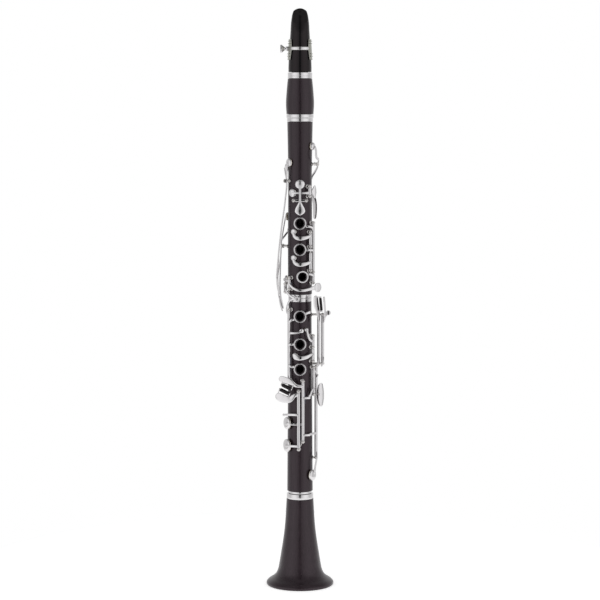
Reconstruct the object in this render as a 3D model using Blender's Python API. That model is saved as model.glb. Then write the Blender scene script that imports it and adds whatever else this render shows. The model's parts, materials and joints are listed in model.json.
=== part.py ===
"""A clarinet of 17 keys and 7 finger rings, standing on its bell, as separate solids.

Sizes are in millimetres and turned into metres by MM. The bore runs along +Z, the finger
holes face -Y, and the origin is the middle of the bell's foot. A place on the instrument is
given by its angle (degrees from the front, positive towards +X), its height and its distance
from the bore's axis.
"""

from math import cos, pi, radians, sin, sqrt

import bmesh
import bpy
from mathutils import Vector

MM = 0.001
UP = Vector((0, 0, 1))
GAP = 0.3

# Lengths along the bore, from the bell's foot.
BELL_TOP = 107.5
BELL_RING_FOOT = 101.4
LOWER_FOOT = 107.8
LOWER_RING_TOP = 110.4
LOWER_TOP = 339.2
SOCKET_RING_FOOT = 330.8
UPPER_FOOT = 339.5
UPPER_TOP = 540.5
UPPER_RING_FOOT = 536.6
BARREL_FOOT = 540.8
BARREL_RING_TOP = 544.7
BARREL_TOP = 592.0
BARREL_UPPER_RING_FOOT = 585.4
MOUTHPIECE_FOOT = 592.3
TIP = 664.9

BORE_R = 7.3
TENON_R = 9.3
SOCKET_R = 10.6
TENON_LENGTH = 18.0
BODY_SIDES = 24

# Outlines of the turned bodies as (height, radius), from top to foot.
BARREL_OUTLINE = ((585.1, 13.9), (572, 15.15), (557.5, 16.05), (545, 15.4))
UPPER_OUTLINE = ((536.3, 14.55), (515, 14.1), (487, 13.65), (470, 13.5), (401, 13.9), (339.5, 13.8))
LOWER_OUTLINE = ((330.5, 13.2), (326, 13.25), (216, 14.05), (110.7, 14.8))
BELL_OUTLINE = (
    (101.1, 15.5), (75, 17.1), (57.5, 18.95), (39.7, 21.7), (27.9, 23.6), (18.5, 25.4),
    (12.6, 28), (9, 31.65), (6, 36.4), (3.1, 38.85), (1.2, 39), (0, 38.4),
)
BELL_INSIDE = (
    (0, 36.4), (2.6, 36.2), (5.5, 32.6), (8.5, 28.6), (12.6, 25.2), (18.5, 22.6), (27.9, 20.2),
    (39.7, 17), (57.5, 12.5), (75, 8.6),
)

# Key work.
ROD_R = 1.0
KEY_BORE_R = 1.3
TUBE_R = 1.8
TUBE_SIDES = 8
POST_R = 1.3
HEAD_R = 2.1
HEAD_HALF = 1.1
ARM_THICK = 1.3
CUP_THICK = 3.2
PAD_GAP = 0.35
PAD_RAISED = 1.1
CRESCENT_RAISED = 0.8
FORK_RAISED = 0.5
RING_THICK = 1.4
RING_BASE_R = 16.9
RING_IN_R = 5.7
RING_OUT_R = 7.2
CHIMNEY_R = 4.8
CHIMNEY_TOP_R = 16.4

WOOD = ("blackwood", (0.02, 0.017, 0.019), 0.3, 0.0)
EBONITE = ("ebonite", (0.012, 0.012, 0.013), 0.25, 0.0)
SILVER = ("silver_plate", (0.86, 0.85, 0.83), 0.18, 1.0)
STEEL = ("hinge_steel", (0.62, 0.62, 0.62), 0.25, 1.0)
CORK = ("cork", (0.55, 0.36, 0.2), 0.85, 0.0)
CANE = ("cane", (0.78, 0.62, 0.3), 0.55, 0.0)
ROLLER = ("roller_plastic", (0.02, 0.02, 0.022), 0.3, 0.0)


def clear_scene():
    for obj in list(bpy.data.objects):
        bpy.data.objects.remove(obj, do_unlink=True)


def material(finish):
    name, colour, roughness, metallic = finish
    found = bpy.data.materials.get(name)
    if found:
        return found
    made = bpy.data.materials.new(name)
    made.use_nodes = True
    shader = made.node_tree.nodes["Principled BSDF"]
    shader.inputs["Base Color"].default_value = (*colour, 1)
    shader.inputs["Roughness"].default_value = roughness
    shader.inputs["Metallic"].default_value = metallic
    return made


def at(angle, height, radius):
    """The point at this angle, height and distance from the bore's axis."""
    turn = radians(angle)
    return Vector((radius * sin(turn), -radius * cos(turn), height))


def outward(point):
    return Vector((point.x, point.y, 0)).normalized()


def body_radius(height):
    """The wood's outer radius at this height."""
    outline = UPPER_OUTLINE if height > SOCKET_RING_FOOT else LOWER_OUTLINE
    for (top, top_r), (foot, foot_r) in zip(outline, outline[1:]):
        if height >= foot:
            return foot_r + (top_r - foot_r) * min((height - foot) / (top - foot), 1)
    return outline[-1][1]


# Shapes. Each is a closed mesh as (points, faces), in millimetres.


def loft(sections, closed=False):
    """Skins sections of equally many points; an open run is capped at both ends."""
    count = len(sections[0])
    points = [point for section in sections for point in section]
    steps = len(sections) if closed else len(sections) - 1
    faces = []
    for step in range(steps):
        here = step * count
        after = (step + 1) % len(sections) * count
        for side in range(count):
            beside = (side + 1) % count
            faces.append((here + side, here + beside, after + beside, after + side))
    if not closed:
        faces.append(tuple(range(count)))
        faces.append(tuple(range(len(points) - count, len(points))))
    return points, faces


def circle(centre, normal, radius, sides):
    normal = normal.normalized()
    across = normal.orthogonal().normalized()
    other = normal.cross(across)
    turns = [2 * pi * side / sides for side in range(sides)]
    return [centre + radius * (cos(turn) * across + sin(turn) * other) for turn in turns]


def rod(start, end, radius, sides=TUBE_SIDES):
    way = end - start
    return loft([circle(point, way, radius, sides) for point in (start, end)])


def washer(centre, normal, inner, outer, thick, sides=16):
    """A flat ring whose lower face has this centre."""
    top = centre + normal.normalized() * thick
    loops = ((centre, inner), (centre, outer), (top, outer), (top, inner))
    return loft([circle(point, normal, radius, sides) for point, radius in loops], closed=True)


def turned(profile, sides=BODY_SIDES):
    """Turns a closed outline of (height, radius) round the bore's axis."""
    return loft([circle(height * UP, UP, radius, sides) for height, radius in profile], closed=True)


def strap(path, widths, thick=ARM_THICK, outwards=None):
    """A flat strap along a path; its thin way points away from the bore, or along outwards."""
    sections = []
    for index, point in enumerate(path):
        along = path[min(index + 1, len(path) - 1)] - path[max(index - 1, 0)]
        up = outwards or outward(point)
        side = along.cross(up).normalized()
        up = side.cross(along).normalized()
        half = side * widths[min(index, len(widths) - 1)] / 2
        lift = up * thick / 2
        corners = (-half - lift, half - lift, half + lift, lift - half)
        sections.append([point + corner for corner in corners])
    return loft(sections)


def arm(places, widths, thick=ARM_THICK):
    """A strap through places given as (angle, height, radius)."""
    return strap([at(*place) for place in places], widths, thick)


def plate(points, widths, outwards=None, thick=ARM_THICK):
    """A strap through places given as (x, y, z)."""
    return strap([Vector(point) for point in points], widths, thick, outwards)


def cup(angle, height, diameter, raised=0.0, thick=CUP_THICK, sides=12):
    """A key cup with its pad, closed on the wood, or held open by the height raised."""
    foot = at(angle, height, body_radius(height) + PAD_GAP + raised)
    return rod(foot, foot + outward(foot) * thick, diameter / 2, sides)


def finger_ring(angle, height, inner=RING_IN_R, outer=RING_OUT_R):
    centre = at(angle, height, RING_BASE_R)
    return washer(centre, outward(centre), inner, outer, RING_THICK)


# Solids in the scene.


def mesh_object(name, shape):
    points, faces = shape
    mesh = bpy.data.meshes.new(name)
    mesh.from_pydata([point * MM for point in points], [], faces)
    shell = bmesh.new()
    shell.from_mesh(mesh)
    bmesh.ops.recalc_face_normals(shell, faces=shell.faces)
    shell.to_mesh(mesh)
    shell.free()
    obj = bpy.data.objects.new(name, mesh)
    bpy.context.collection.objects.link(obj)
    return obj


def solid(name, finish, shapes, cuts=(), origin=None):
    """One named object: the union of shapes, less the cuts, with its origin on its joint."""
    obj = mesh_object(name, shapes[0])
    helpers = []
    for operation, group in (("UNION", shapes[1:]), ("DIFFERENCE", cuts)):
        for shape in group:
            helper = mesh_object("helper", shape)
            helpers.append(helper)
            boolean = obj.modifiers.new("join", "BOOLEAN")
            boolean.operation = operation
            boolean.solver = "EXACT"
            boolean.object = helper
    if helpers:
        graph = bpy.context.evaluated_depsgraph_get()
        joined = bpy.data.meshes.new_from_object(obj.evaluated_get(graph))
        obj.modifiers.clear()
        obj.data = joined
        for helper in helpers:
            bpy.data.objects.remove(helper, do_unlink=True)
    if origin is not None:
        for vertex in obj.data.vertices:
            vertex.co -= origin * MM
        obj.location = origin * MM
    obj.data.materials.clear()
    obj.data.materials.append(material(finish))
    obj.data.shade_smooth()
    obj.data.set_sharp_from_angle(angle=radians(35))
    return obj


# Hinges. Each is a point on its axis and the axis's direction; the keys give the lengths.


def upright(angle, radius):
    """A hinge axis that runs along the bore."""
    return at(angle, 0, radius), UP


def across(angle, height, radius):
    """A hinge axis that runs across the bore, along the surface."""
    turn = radians(angle)
    return at(angle, height, radius), Vector((cos(turn), sin(turn), 0))


HINGES = {
    "register": across(104, 488, 19),
    "trills": (Vector((-17, 0, 469)), Vector((0, 1, 0))),
    "sides": (Vector((-19.5, 0, 394)), Vector((0, 1, 0))),
    "a": across(0, 447, 18.3),
    "g_sharp": upright(36, 18.8),
    "upper_rings": upright(58, 17.9),
    "slivers": upright(42, 17.8),
    "c_sharp": upright(-42, 18.3),
    "bridge": upright(-66, 18.3),
    "lower_rings": upright(-46, 17.7),
    "lower_slivers": upright(56, 18.0),
    "low_f": upright(10.5, 18.7),
    "low_e": upright(-4.8, 19.0),
    "left_inner": upright(82, 21.7),
    "left_outer": upright(92, 26.0),
    "low_f_sharp": upright(84, 18.6),
    "link": upright(62, 17.8),
}


def on_hinge(hinge, distance):
    """The point on a hinge: its height on an upright one, else its offset along the axis."""
    point, way = HINGES[hinge]
    return point + way * distance


def tube(hinge, start, end):
    return rod(on_hinge(hinge, start), on_hinge(hinge, end), TUBE_R)


def key_bore(hinge, start, end):
    return rod(on_hinge(hinge, start - 5), on_hinge(hinge, end + 5), KEY_BORE_R)


def post(hinge, distance):
    """A post on the wood: its stem, square to the hinge, and its head round the rod."""
    point, way = HINGES[hinge]
    head = point + way * distance
    inward = -outward(point)
    flat = Vector((head.x, head.y, 0))
    nearest = -flat.dot(inward)
    aside = max((flat + inward * nearest).length - POST_R, 0)
    reach = nearest - sqrt((body_radius(head.z) + GAP) ** 2 - aside**2)
    stem = rod(head + inward * reach, head, POST_R, 6)
    ball = rod(head - way * HEAD_HALF, head + way * HEAD_HALF, HEAD_R, TUBE_SIDES)
    return [stem, ball]


def hinge_rod(name, hinges, posts, extra=()):
    """The steel rod of each hinge with its posts; posts are distances along the axis."""
    shapes = []
    for hinge, places in zip(hinges, posts):
        ends = on_hinge(hinge, min(places)), on_hinge(hinge, max(places))
        shapes.append(rod(*ends, ROD_R, 8))
        for place in places:
            shapes.extend(post(hinge, place))
    return solid(name, STEEL, shapes + list(extra))


def key(name, hinge, span, shapes, cuts=()):
    """A key: its tube on the hinge, with arms, cups and touches soldered on."""
    point, way = HINGES[hinge]
    middle = on_hinge(hinge, sum(span) / 2)
    bore = key_bore(hinge, *span)
    return solid(name, SILVER, [tube(hinge, *span), *shapes], [bore, *cuts], origin=middle)


# Bodies and rings.


def ring_seat(height_a, height_b, inner, outer):
    return turned(((height_b, outer), (height_a, outer), (height_a, inner), (height_b, inner)))


def tone_hole(angle, height, radius):
    return rod(at(angle, height, BORE_R - 2), at(angle, height, 19), radius, 12)


def chimney(angle, height):
    start = at(angle, height, 9.5)
    return rod(start, at(angle, height, CHIMNEY_TOP_R), CHIMNEY_R, 16)


UPPER_FINGER_HOLES = ((0, 421.1, 4.0), (0, 391.2, 4.0), (9, 360, 3.8))
LOWER_FINGER_HOLES = ((0, 314.6, 4.0), (0, 282.5, 4.0), (0, 253.7, 4.0))
THUMB_HOLE = (180, 436, 3.5)
UPPER_PAD_HOLES = (
    (64, 508.5, 1.6), (-55, 490, 2.5), (-95, 484, 2.5), (0, 465.4, 2.8), (-33, 455.6, 2.5),
    (-110, 428, 2.5), (-135, 412, 2.5), (-26, 411.4, 1.8), (-26, 381.5, 1.8), (-88, 356, 2.6),
)
LOWER_PAD_HOLES = (
    (7, 298, 1.4), (26, 299, 1.4), (-20, 270, 1.6), (-60, 190.3, 4.6), (-60, 164.3, 4.8),
    (56, 130, 4.4),
)


def make_upper_joint():
    seat = 12.4
    profile = [(UPPER_TOP + TENON_LENGTH - 2, TENON_R), (UPPER_TOP, TENON_R), (UPPER_TOP, seat)]
    profile += [(UPPER_OUTLINE[0][0], seat), *UPPER_OUTLINE]
    profile += [(UPPER_FOOT, TENON_R), (UPPER_FOOT - TENON_LENGTH, TENON_R)]
    profile += [(UPPER_FOOT - TENON_LENGTH, BORE_R), (UPPER_TOP + TENON_LENGTH - 2, BORE_R)]
    chimneys = [chimney(angle, height) for angle, height, _ in UPPER_FINGER_HOLES]
    holes = [tone_hole(*hole) for hole in UPPER_FINGER_HOLES + UPPER_PAD_HOLES + (THUMB_HOLE,)]
    solid("upper_joint", WOOD, [turned(profile), *chimneys], holes)


def make_lower_joint():
    seat = 11.9
    socket_foot = UPPER_FOOT - TENON_LENGTH - 0.5
    profile = [(LOWER_TOP, SOCKET_R), (LOWER_TOP, seat), (LOWER_OUTLINE[0][0], seat), *LOWER_OUTLINE]
    profile += [(LOWER_OUTLINE[-1][0], seat), (LOWER_FOOT, seat), (LOWER_FOOT, TENON_R)]
    profile += [(LOWER_FOOT - TENON_LENGTH, TENON_R), (LOWER_FOOT - TENON_LENGTH, BORE_R)]
    profile += [(socket_foot, BORE_R), (socket_foot, SOCKET_R)]
    chimneys = [chimney(angle, height) for angle, height, _ in LOWER_FINGER_HOLES]
    holes = [tone_hole(*hole) for hole in LOWER_FINGER_HOLES + LOWER_PAD_HOLES]
    solid("lower_joint", WOOD, [turned(profile), *chimneys], holes)


def make_barrel():
    upper_socket_foot = MOUTHPIECE_FOOT - TENON_LENGTH - 0.5
    lower_socket_top = UPPER_TOP + TENON_LENGTH - 1.5
    profile = [(BARREL_TOP, SOCKET_R), (BARREL_TOP, 12.3), (BARREL_OUTLINE[0][0], 12.3), *BARREL_OUTLINE]
    profile += [(BARREL_OUTLINE[-1][0], 13.2), (BARREL_FOOT, 13.2), (BARREL_FOOT, SOCKET_R)]
    profile += [(lower_socket_top, SOCKET_R), (lower_socket_top, BORE_R)]
    profile += [(upper_socket_foot, BORE_R), (upper_socket_foot, SOCKET_R)]
    solid("barrel", WOOD, [turned(profile)])


def make_bell():
    socket_foot = LOWER_FOOT - TENON_LENGTH - 0.5
    profile = [(BELL_TOP, SOCKET_R), (BELL_TOP, 12.9), (BELL_OUTLINE[0][0], 12.9), *BELL_OUTLINE]
    profile += [*BELL_INSIDE, (socket_foot, BORE_R), (socket_foot, SOCKET_R)]
    solid("bell", WOOD, [turned(profile, 32)])


def make_rings():
    rings = {
        "barrel_top_ring": (BARREL_UPPER_RING_FOOT, BARREL_TOP, 12.6, 13.95),
        "barrel_foot_ring": (BARREL_FOOT, BARREL_RING_TOP, 13.5, 15.5),
        "upper_joint_ring": (UPPER_RING_FOOT, UPPER_TOP, 12.7, 14.9),
        "socket_ring": (SOCKET_RING_FOOT, LOWER_TOP, 12.2, 13.3),
        "lower_joint_ring": (LOWER_FOOT, LOWER_RING_TOP, 12.2, 13.6),
        "bell_ring": (BELL_RING_FOOT, BELL_TOP, 13.2, 15.3),
    }
    for name, (foot, top, inner, outer) in rings.items():
        solid(name, SILVER, [ring_seat(foot, top, inner, outer)])


def make_tenon_corks():
    """Cork sleeves between each tenon and its socket, clear of both."""
    corks = {
        "mouthpiece_cork": MOUTHPIECE_FOOT - TENON_LENGTH + 3,
        "upper_tenon_cork": UPPER_TOP + 2,
        "middle_tenon_cork": UPPER_FOOT - TENON_LENGTH + 3,
        "bell_tenon_cork": LOWER_FOOT - TENON_LENGTH + 3,
    }
    for name, foot in corks.items():
        solid(name, CORK, [ring_seat(foot, foot + 12, TENON_R + 0.25, SOCKET_R - 0.25)])


# Mouthpiece, reed and ligature.

# Sections of the beak as (height, half width, front, back), where back is the reed's table.
BEAK = (
    (592.6, 13.2, -13.2, 13.2), (600, 13.15, -13.15, 11.3), (618, 12.3, -12.3, 10.8),
    (636, 11, -11, 10.1), (648, 10.3, -6.6, 9.4), (656.7, 9.1, -0.7, 8.8), (662, 7.6, 4, 8.4),
    (TIP, 6.3, 6.6, 8.1),
)


def beak_section(height, half, front, back, margin=0.0, sides=20):
    """An oval, cut flat at the back, where the reed lies."""
    middle = (front + min(back, half)) / 2
    depth = (min(back, half) - front) / 2 if front > -half else half
    centre = middle if front > -half else 0
    section = []
    for side in range(sides):
        turn = 2 * pi * side / sides
        x = (half + margin) * sin(turn)
        y = min(centre - (depth + margin) * cos(turn), back + margin)
        section.append(Vector((x, y, height)))
    return section


def beak_at(height):
    """The beak's half width, front and back at this height."""
    for low, high in zip(BEAK, BEAK[1:]):
        if height <= high[0]:
            part = (height - low[0]) / (high[0] - low[0])
            return [a + (b - a) * part for a, b in zip(low[1:], high[1:])]
    return list(BEAK[-1][1:])


def make_mouthpiece():
    shell = loft([beak_section(*section) for section in BEAK])
    foot = MOUTHPIECE_FOOT - TENON_LENGTH
    tenon = rod(UP * foot, UP * 594, TENON_R, 24)
    bore = rod(UP * (foot - 2), UP * 606, BORE_R, 20)
    chamber_path = [Vector((0, y, z)) for y, z in ((0, 604), (2.6, 620), (6, 640), (9.2, 655))]
    chamber = strap(chamber_path, (9, 10, 11, 11.4), 11.5, Vector((0, 1, 0)))
    window = strap([Vector((0, 10, z)) for z in (626, 657)], (9.5, 11.2), 6, Vector((0, 1, 0)))
    solid("mouthpiece", EBONITE, [shell, tenon], [bore, chamber, window])


# Sections of the reed as (height, half width, thickness).
REED = ((600, 5.7, 2.9), (628, 6.1, 2.9), (636, 6.2, 2.7), (652, 6.4, 1.2), (664.2, 6.5, 0.3))


def make_reed():
    """Flat on the table side, thick at the butt and thin at the tip."""
    sections = []
    for height, half, thick in REED:
        face = beak_at(height)[2] + GAP
        edge = face + thick * 0.45
        shoulder = face + thick * 0.9
        row = ((-1, face), (1, face), (1, edge), (0.6, shoulder), (0, face + thick), (-0.6, shoulder),
               (-1, edge))
        sections.append([Vector((half * x, y, height)) for x, y in row])
    solid("reed", CANE, [loft(sections)])


LIGATURE_FOOT = 606.5
LIGATURE_TOP = 629.5
LIGATURE_BAND = (617.2, 620.9)
SCREW_HEIGHT = 619
LIGATURE_GAP = 0.7
REED_ROOM = 3.2


def make_ligature():
    """A sheet band round mouthpiece and reed, narrow in front, with a lug for its screw."""

    def sleeve(margin, foot, top):
        sections = []
        for height in (foot, (foot + top) / 2, top):
            half, _, table = beak_at(height)
            front, back = -half - margin, table + REED_ROOM + margin
            middle, depth = (front + back) / 2, (back - front) / 2
            across_r = half + margin
            turns = circle(Vector((0, 0, height)), UP, 1, 24)
            sections.append([Vector((p.x * across_r, middle + p.y * depth, height)) for p in turns])
        return loft(sections)

    def on_screw(x):
        return Vector((x, 0, SCREW_HEIGHT))

    outer = sleeve(LIGATURE_GAP + 1.0, LIGATURE_FOOT, LIGATURE_TOP)
    inner = sleeve(LIGATURE_GAP, LIGATURE_FOOT - 1, LIGATURE_TOP + 1)
    lug = rod(on_screw(-12.6), on_screw(-16.4), 2.6, 12)
    ahead = Vector((0, -1, 0))
    windows = []
    for foot, top in ((LIGATURE_FOOT - 2, LIGATURE_BAND[0]), (LIGATURE_BAND[1], LIGATURE_TOP + 2)):
        windows.append(strap([Vector((0, -14, foot)), Vector((0, -14, top))], (17, 17), 14, ahead))
    hole = rod(on_screw(-11.9), on_screw(-18), 1.6, 12)
    solid("ligature", SILVER, [outer, lug], [inner, hole, *windows])
    shaft = rod(on_screw(-14), on_screw(-17.5), 1.1, 8)
    flare = ((-16.8, 1.6), (-20.5, 4.6), (-22.4, 4.6))
    head = loft([circle(on_screw(x), Vector((-1, 0, 0)), radius, 14) for x, radius in flare])
    solid("ligature_screw", SILVER, [shaft, head], origin=on_screw(-17))


# Upper joint keys.

def make_register_key():
    """A lever from its cup near the barrel round to the thumb's touch at the back."""
    lever = arm(
        ((64, 508.5, 18.9), (63, 503.6, 20.4), (63, 499, 20.6), (68, 495.6, 20.4), (78, 494.4, 20.6),
         (89, 493.6, 21), (99, 489.4, 21), (108, 484.6, 20.9), (124, 479, 20.8), (140, 472, 20.6),
         (148, 461, 20.6), (141, 451, 20.8)),
        (3.4, 3.6, 3.6, 3.4, 3.2, 3.2, 3.4, 3.4, 3.2, 3.2, 3.4, 6),
    )
    touch = arm(
        ((140, 453, 20.8), (127, 445, 20.8), (123, 435, 20.6), (123, 424.5, 20.2)), (5, 8, 8.4, 5),
    )
    key("register_key", "register", (-4, 4), [cup(64, 508.5, 9, thick=4.4), lever, touch])
    hinge_rod("register_hinge", ["register"], [(-5.4, 5.4)])


def make_trill_keys():
    """Two long levers on one hinge, from the side touches up to the trill pads."""
    upper = plate(
        ((-14.5, -10.2, 490), (-15, -8.4, 482), (-15.3, -6.2, 474), (-15.3, -5.4, 469),
         (-15.3, -5.4, 462), (-16.4, -5.4, 452), (-18, -5.4, 438), (-20.6, -5.4, 420),
         (-23.9, -5.4, 392), (-26.5, -6, 362), (-26.5, -7, 357)),
        (3, 3, 3, 3, 3, 3, 3, 3, 3, 3, 4.4),
    )
    upper_touch = plate(((-26.4, -7, 358), (-25.8, -7.6, 350), (-23.6, -7.8, 340)), (4, 5.4, 4))
    key("upper_trill_key", "trills", (-7.2, -3.5), [cup(-55, 490, 9.5, thick=3.6), upper, upper_touch])
    lower = plate(
        ((-17.7, 1.4, 484), (-16.6, 0, 476), (-15.3, -1.4, 469), (-15.3, -1.5, 462),
         (-16.4, -1.6, 452), (-18, -1.6, 438), (-20.6, -1.6, 420), (-23.9, -1.6, 392),
         (-25.4, -1.6, 362), (-24.6, -1.6, 340), (-23.6, -2.2, 334)),
        (3, 3, 3, 3, 3, 3, 3, 3, 3, 3, 4.4),
    )
    lower_touch = plate(((-23.8, -2.4, 336), (-22.6, -3.2, 328), (-20.2, -3.6, 319.5)), (4, 5.6, 4))
    key("lower_trill_key", "trills", (-3.1, 0.4), [cup(-95, 484, 9.5, thick=3.6), lower, lower_touch])
    hinge_rod("trill_hinge", ["trills"], [(-8.7, 1.9)])


def make_side_keys():
    """Two shorter levers behind the trill levers."""
    upper = plate(
        ((-16.4, 6, 428), (-18.6, 5.2, 416), (-21.2, 4.8, 400), (-21.5, 4.6, 394), (-22.4, 4.4, 380),
         (-25.2, 4, 362), (-25.8, 4, 356), (-25.2, 4, 348), (-23.6, 4, 341)),
        (3, 3, 3, 3, 3, 3, 4.4, 4.4, 3.6),
    )
    key("upper_side_key", "sides", (2.7, 6.4), [cup(-110, 428, 9.5), upper])
    lower = plate(
        ((-12.3, 12.4, 412), (-17, 11.4, 406), (-21.2, 8.9, 400), (-21.5, 8.6, 394), (-22.2, 8.8, 380),
         (-23, 9.2, 350), (-22.6, 9.2, 338), (-21.6, 9.4, 330), (-19.4, 9.4, 321)),
        (3, 3, 3, 3, 3, 3, 4, 5, 4),
    )
    key("lower_side_key", "sides", (6.8, 10.3), [cup(-135, 412, 9.5), lower])
    hinge_rod("side_hinge", ["sides"], [(1.1, 11.9)])


def make_a_key():
    stem = arm(
        ((0, 465.4, 18.2), (0, 461, 19.4), (0, 452, 20.2), (0, 447, 20.2), (0, 443.5, 19.9)),
        (3, 3, 3, 3, 3.4),
    )
    touch = arm(
        ((0, 445, 20), (0, 440, 19.8), (0, 435.5, 19.6), (0, 432, 19.3), (0, 430.4, 19.2)),
        (3.4, 8, 11.4, 9, 5),
    )
    key("a_key", "a", (-5.6, 5.6), [cup(0, 465.4, 11, thick=4), stem, touch])
    hinge_rod("a_hinge", ["a"], [(-7.2, 7.2)])


def make_g_sharp_key():
    bar = arm(
        ((36, 456, 18.8), (18, 455.6, 17.4), (0, 455.6, 17), (-18, 455.6, 17.2), (-33, 455.6, 17.7)),
        (3.4, 3, 2.8, 2.8, 3), 1.2,
    )
    touch = arm(((36, 457, 20), (41, 457, 21), (49, 457, 22), (57, 457, 22)), (5, 6, 15, 10))
    key("g_sharp_key", "g_sharp", (453.2, 461.6), [cup(-33, 455.6, 9.5, thick=3.8), bar, touch])
    hinge_rod("g_sharp_hinge", ["g_sharp"], [(451.8, 463)])


def ring_arm(hinge_angle, height, ring_angle, ring_height):
    """An arm from a hinge over the front to a finger ring."""
    step = (ring_angle - hinge_angle) / 3
    return arm(
        ((hinge_angle, height, 18.7), (hinge_angle + step, height, 20.7),
         (hinge_angle + 2 * step, ring_height, 19.6), (ring_angle, ring_height, 17.8)),
        (3, 2.8, 2.8, 3),
    )


def make_upper_rings():
    rings = [finger_ring(0, 421.1), finger_ring(0, 391.2)]
    arms = [ring_arm(58, 416, 21, 417.4), ring_arm(58, 390.4, 21, 390.8)]
    key("upper_ring_key", "upper_rings", (366.6, 420), rings + arms)
    third = finger_ring(9, 360, 5.2, 7)
    key("third_ring_key", "upper_rings", (354.2, 363.4), [third, ring_arm(58, 361.6, 26, 363)])
    hinge_rod("upper_ring_hinge", ["upper_rings"], [(352.7, 365, 421.5)])


def make_upper_slivers():
    """Two crescent keys, each with a small pad beside the finger rings."""
    curve = (
        (42, 407.2, 19.2), (28, 405.4, 18.6), (10, 404.2, 18.2), (-6, 404.2, 18.1), (-19, 406, 18),
        (-26, 410.6, 17.9),
    )
    keys = (("first_crescent_key", 0, (396, 409.4)), ("second_crescent_key", 29.9, (368.4, 387.4)))
    for name, lower, span in keys:
        places = [(angle, height - lower, radius) for angle, height, radius in curve]
        crescent = arm(places, (3, 4, 4.6, 4.4, 4, 3))
        key(name, "slivers", span, [crescent, cup(-26, 411.4 - lower, 6.8, CRESCENT_RAISED, 3)])
    hinge_rod("crescent_hinge", ["slivers"], [(366.9, 394.2, 411)])


def make_c_sharp_key():
    bow = arm(
        ((-42, 352, 19), (-28, 348, 19), (-10, 345.2, 18.8), (10, 344.6, 18.8),
         (30, 345.5, 19.2), (46, 347, 21), (56, 347.6, 22.6)),
        (3.4, 3, 3, 3.2, 3.6, 5, 7),
    )
    touch = arm(
        ((49, 347.6, 21.8), (56, 347.6, 22.8), (64, 347.6, 24.2), (70, 347.6, 25.8)),
        (8, 10, 10.2, 8.6),
    )
    to_pad = arm(((-42, 355, 18.6), (-60, 355.4, 19.4), (-76, 356, 18.8), (-88, 356, 18)), (3, 3, 3, 3))
    key("c_sharp_key", "c_sharp", (347.4, 357.2), [bow, touch, to_pad, cup(-88, 356, 9.5, thick=3.8)])
    hinge_rod("c_sharp_hinge", ["c_sharp"], [(345.9, 358.7)])


def make_bridge_lever():
    lever = arm(
        ((-66, 348, 19.4), (-54, 345, 20.4), (-43, 340.6, 20), (-31, 337.4, 19.3), (-18, 335.6, 18.9)),
        (3, 3, 3, 2.8, 2.8),
    )
    eye = at(-9, 334.8, 18.2)
    key("bridge_lever", "bridge", (343.5, 350.1), [lever, washer(eye, outward(eye), 1.2, 3.1, 1.4, 12)])
    hinge_rod("bridge_hinge", ["bridge"], [(342.1, 351.5)])


# Lower joint keys.

def make_lower_rings():
    rings = [finger_ring(0, height) for height in (314.6, 282.5, 253.7)]
    spans = ((308, 310.6), (282.5, 282.5), (258, 256.6))
    arms = [ring_arm(-46, from_height, -21, to_height) for from_height, to_height in spans]
    side_arm = arm(((20, 317.6, 17.8), (32, 319, 18.4), (42, 319.6, 18.6)), (3, 3, 4.4))
    to_pad = arm(((-46, 295.5, 18.6), (-28, 295.5, 19), (-8, 296, 18), (5, 297.6, 17.6)), (3, 3, 3, 3))
    pad = cup(6.5, 298, 5.2, PAD_RAISED, 3)
    finger = arm(
        ((-46, 317, 18.6), (-58, 320, 18), (-60, 326, 17), (-48, 332, 16), (-30, 334, 15.8),
         (-9, 334, 15.7)),
        (3, 2.6, 2.6, 2.6, 2.6, 3), 1,
    )
    key("lower_ring_key", "lower_rings", (242, 320.6), rings + arms + [side_arm, to_pad, pad, finger])
    hinge_rod("lower_ring_hinge", ["lower_rings"], [(240.6, 322)])


def make_lower_slivers():
    """The fork key and a leaf-shaped crescent, on one hinge."""
    fork = arm(
        ((56, 286, 19), (44, 286, 19.4), (34, 289, 19), (29, 294.6, 18.2), (27, 299, 17.7)),
        (3, 3, 3, 3, 3),
    )
    key("fork_key", "lower_slivers", (280.2, 290.4), [fork, cup(27.5, 299, 4.9, FORK_RAISED, 3.6)])
    leaf = arm(
        ((56, 271, 19), (42, 270.2, 19), (26, 268, 18.6), (8, 266.8, 18.2), (-6, 266.8, 18.1),
         (-15, 268, 18), (-21, 269.6, 17.9), (-27, 271.4, 17.7)),
        (3.4, 3.6, 4.2, 4.8, 5.4, 6.4, 5.2, 1.6),
    )
    pad = cup(-20, 270, 5.6, CRESCENT_RAISED, 3.4)
    key("lower_crescent_key", "lower_slivers", (264, 277), [leaf, pad])
    hinge_rod("lower_crescent_hinge", ["lower_slivers"], [(262.6, 278.6, 291.9)])


def roller_mount(start, end, towards, reach):
    """The pin of a roller with a lug at each end, and the stays that hold it to its touch."""
    way = (end - start).normalized()
    stay = (towards - way * towards.dot(way)).normalized() * reach
    ends = start - way, end + way
    pin = rod(start - way * 1.2, end + way * 1.2, 0.6, 8)
    lugs = [rod(place - way * 0.6, place + way * 0.6, 1.5, 8) for place in ends]
    return [pin, *lugs, *(rod(place, place + stay, 0.62, 8) for place in ends)]


def make_roller(name, start, end, radius):
    way = (end - start).normalized()
    bore = rod(start - way, end + way, 0.95, 8)
    solid(name, ROLLER, [rod(start, end, radius, 12)], [bore], origin=(start + end) / 2)


UPPER_ROLLER = (Vector((-20.4, -17.2, 235.9)), Vector((-10.4, -20.2, 231.5)))
LOWER_ROLLER = (Vector((-22.5, -17.2, 230.5)), Vector((-12.5, -20.7, 226.1)))
PADDLE_FACE = Vector((-0.5, -1, 0))
PADDLE_ROLLER_R = 2.2
SIDE_ROLLER = (Vector((24.6, -12.0, 321.2)), Vector((23.2, -13.2, 335.6)))


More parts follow.
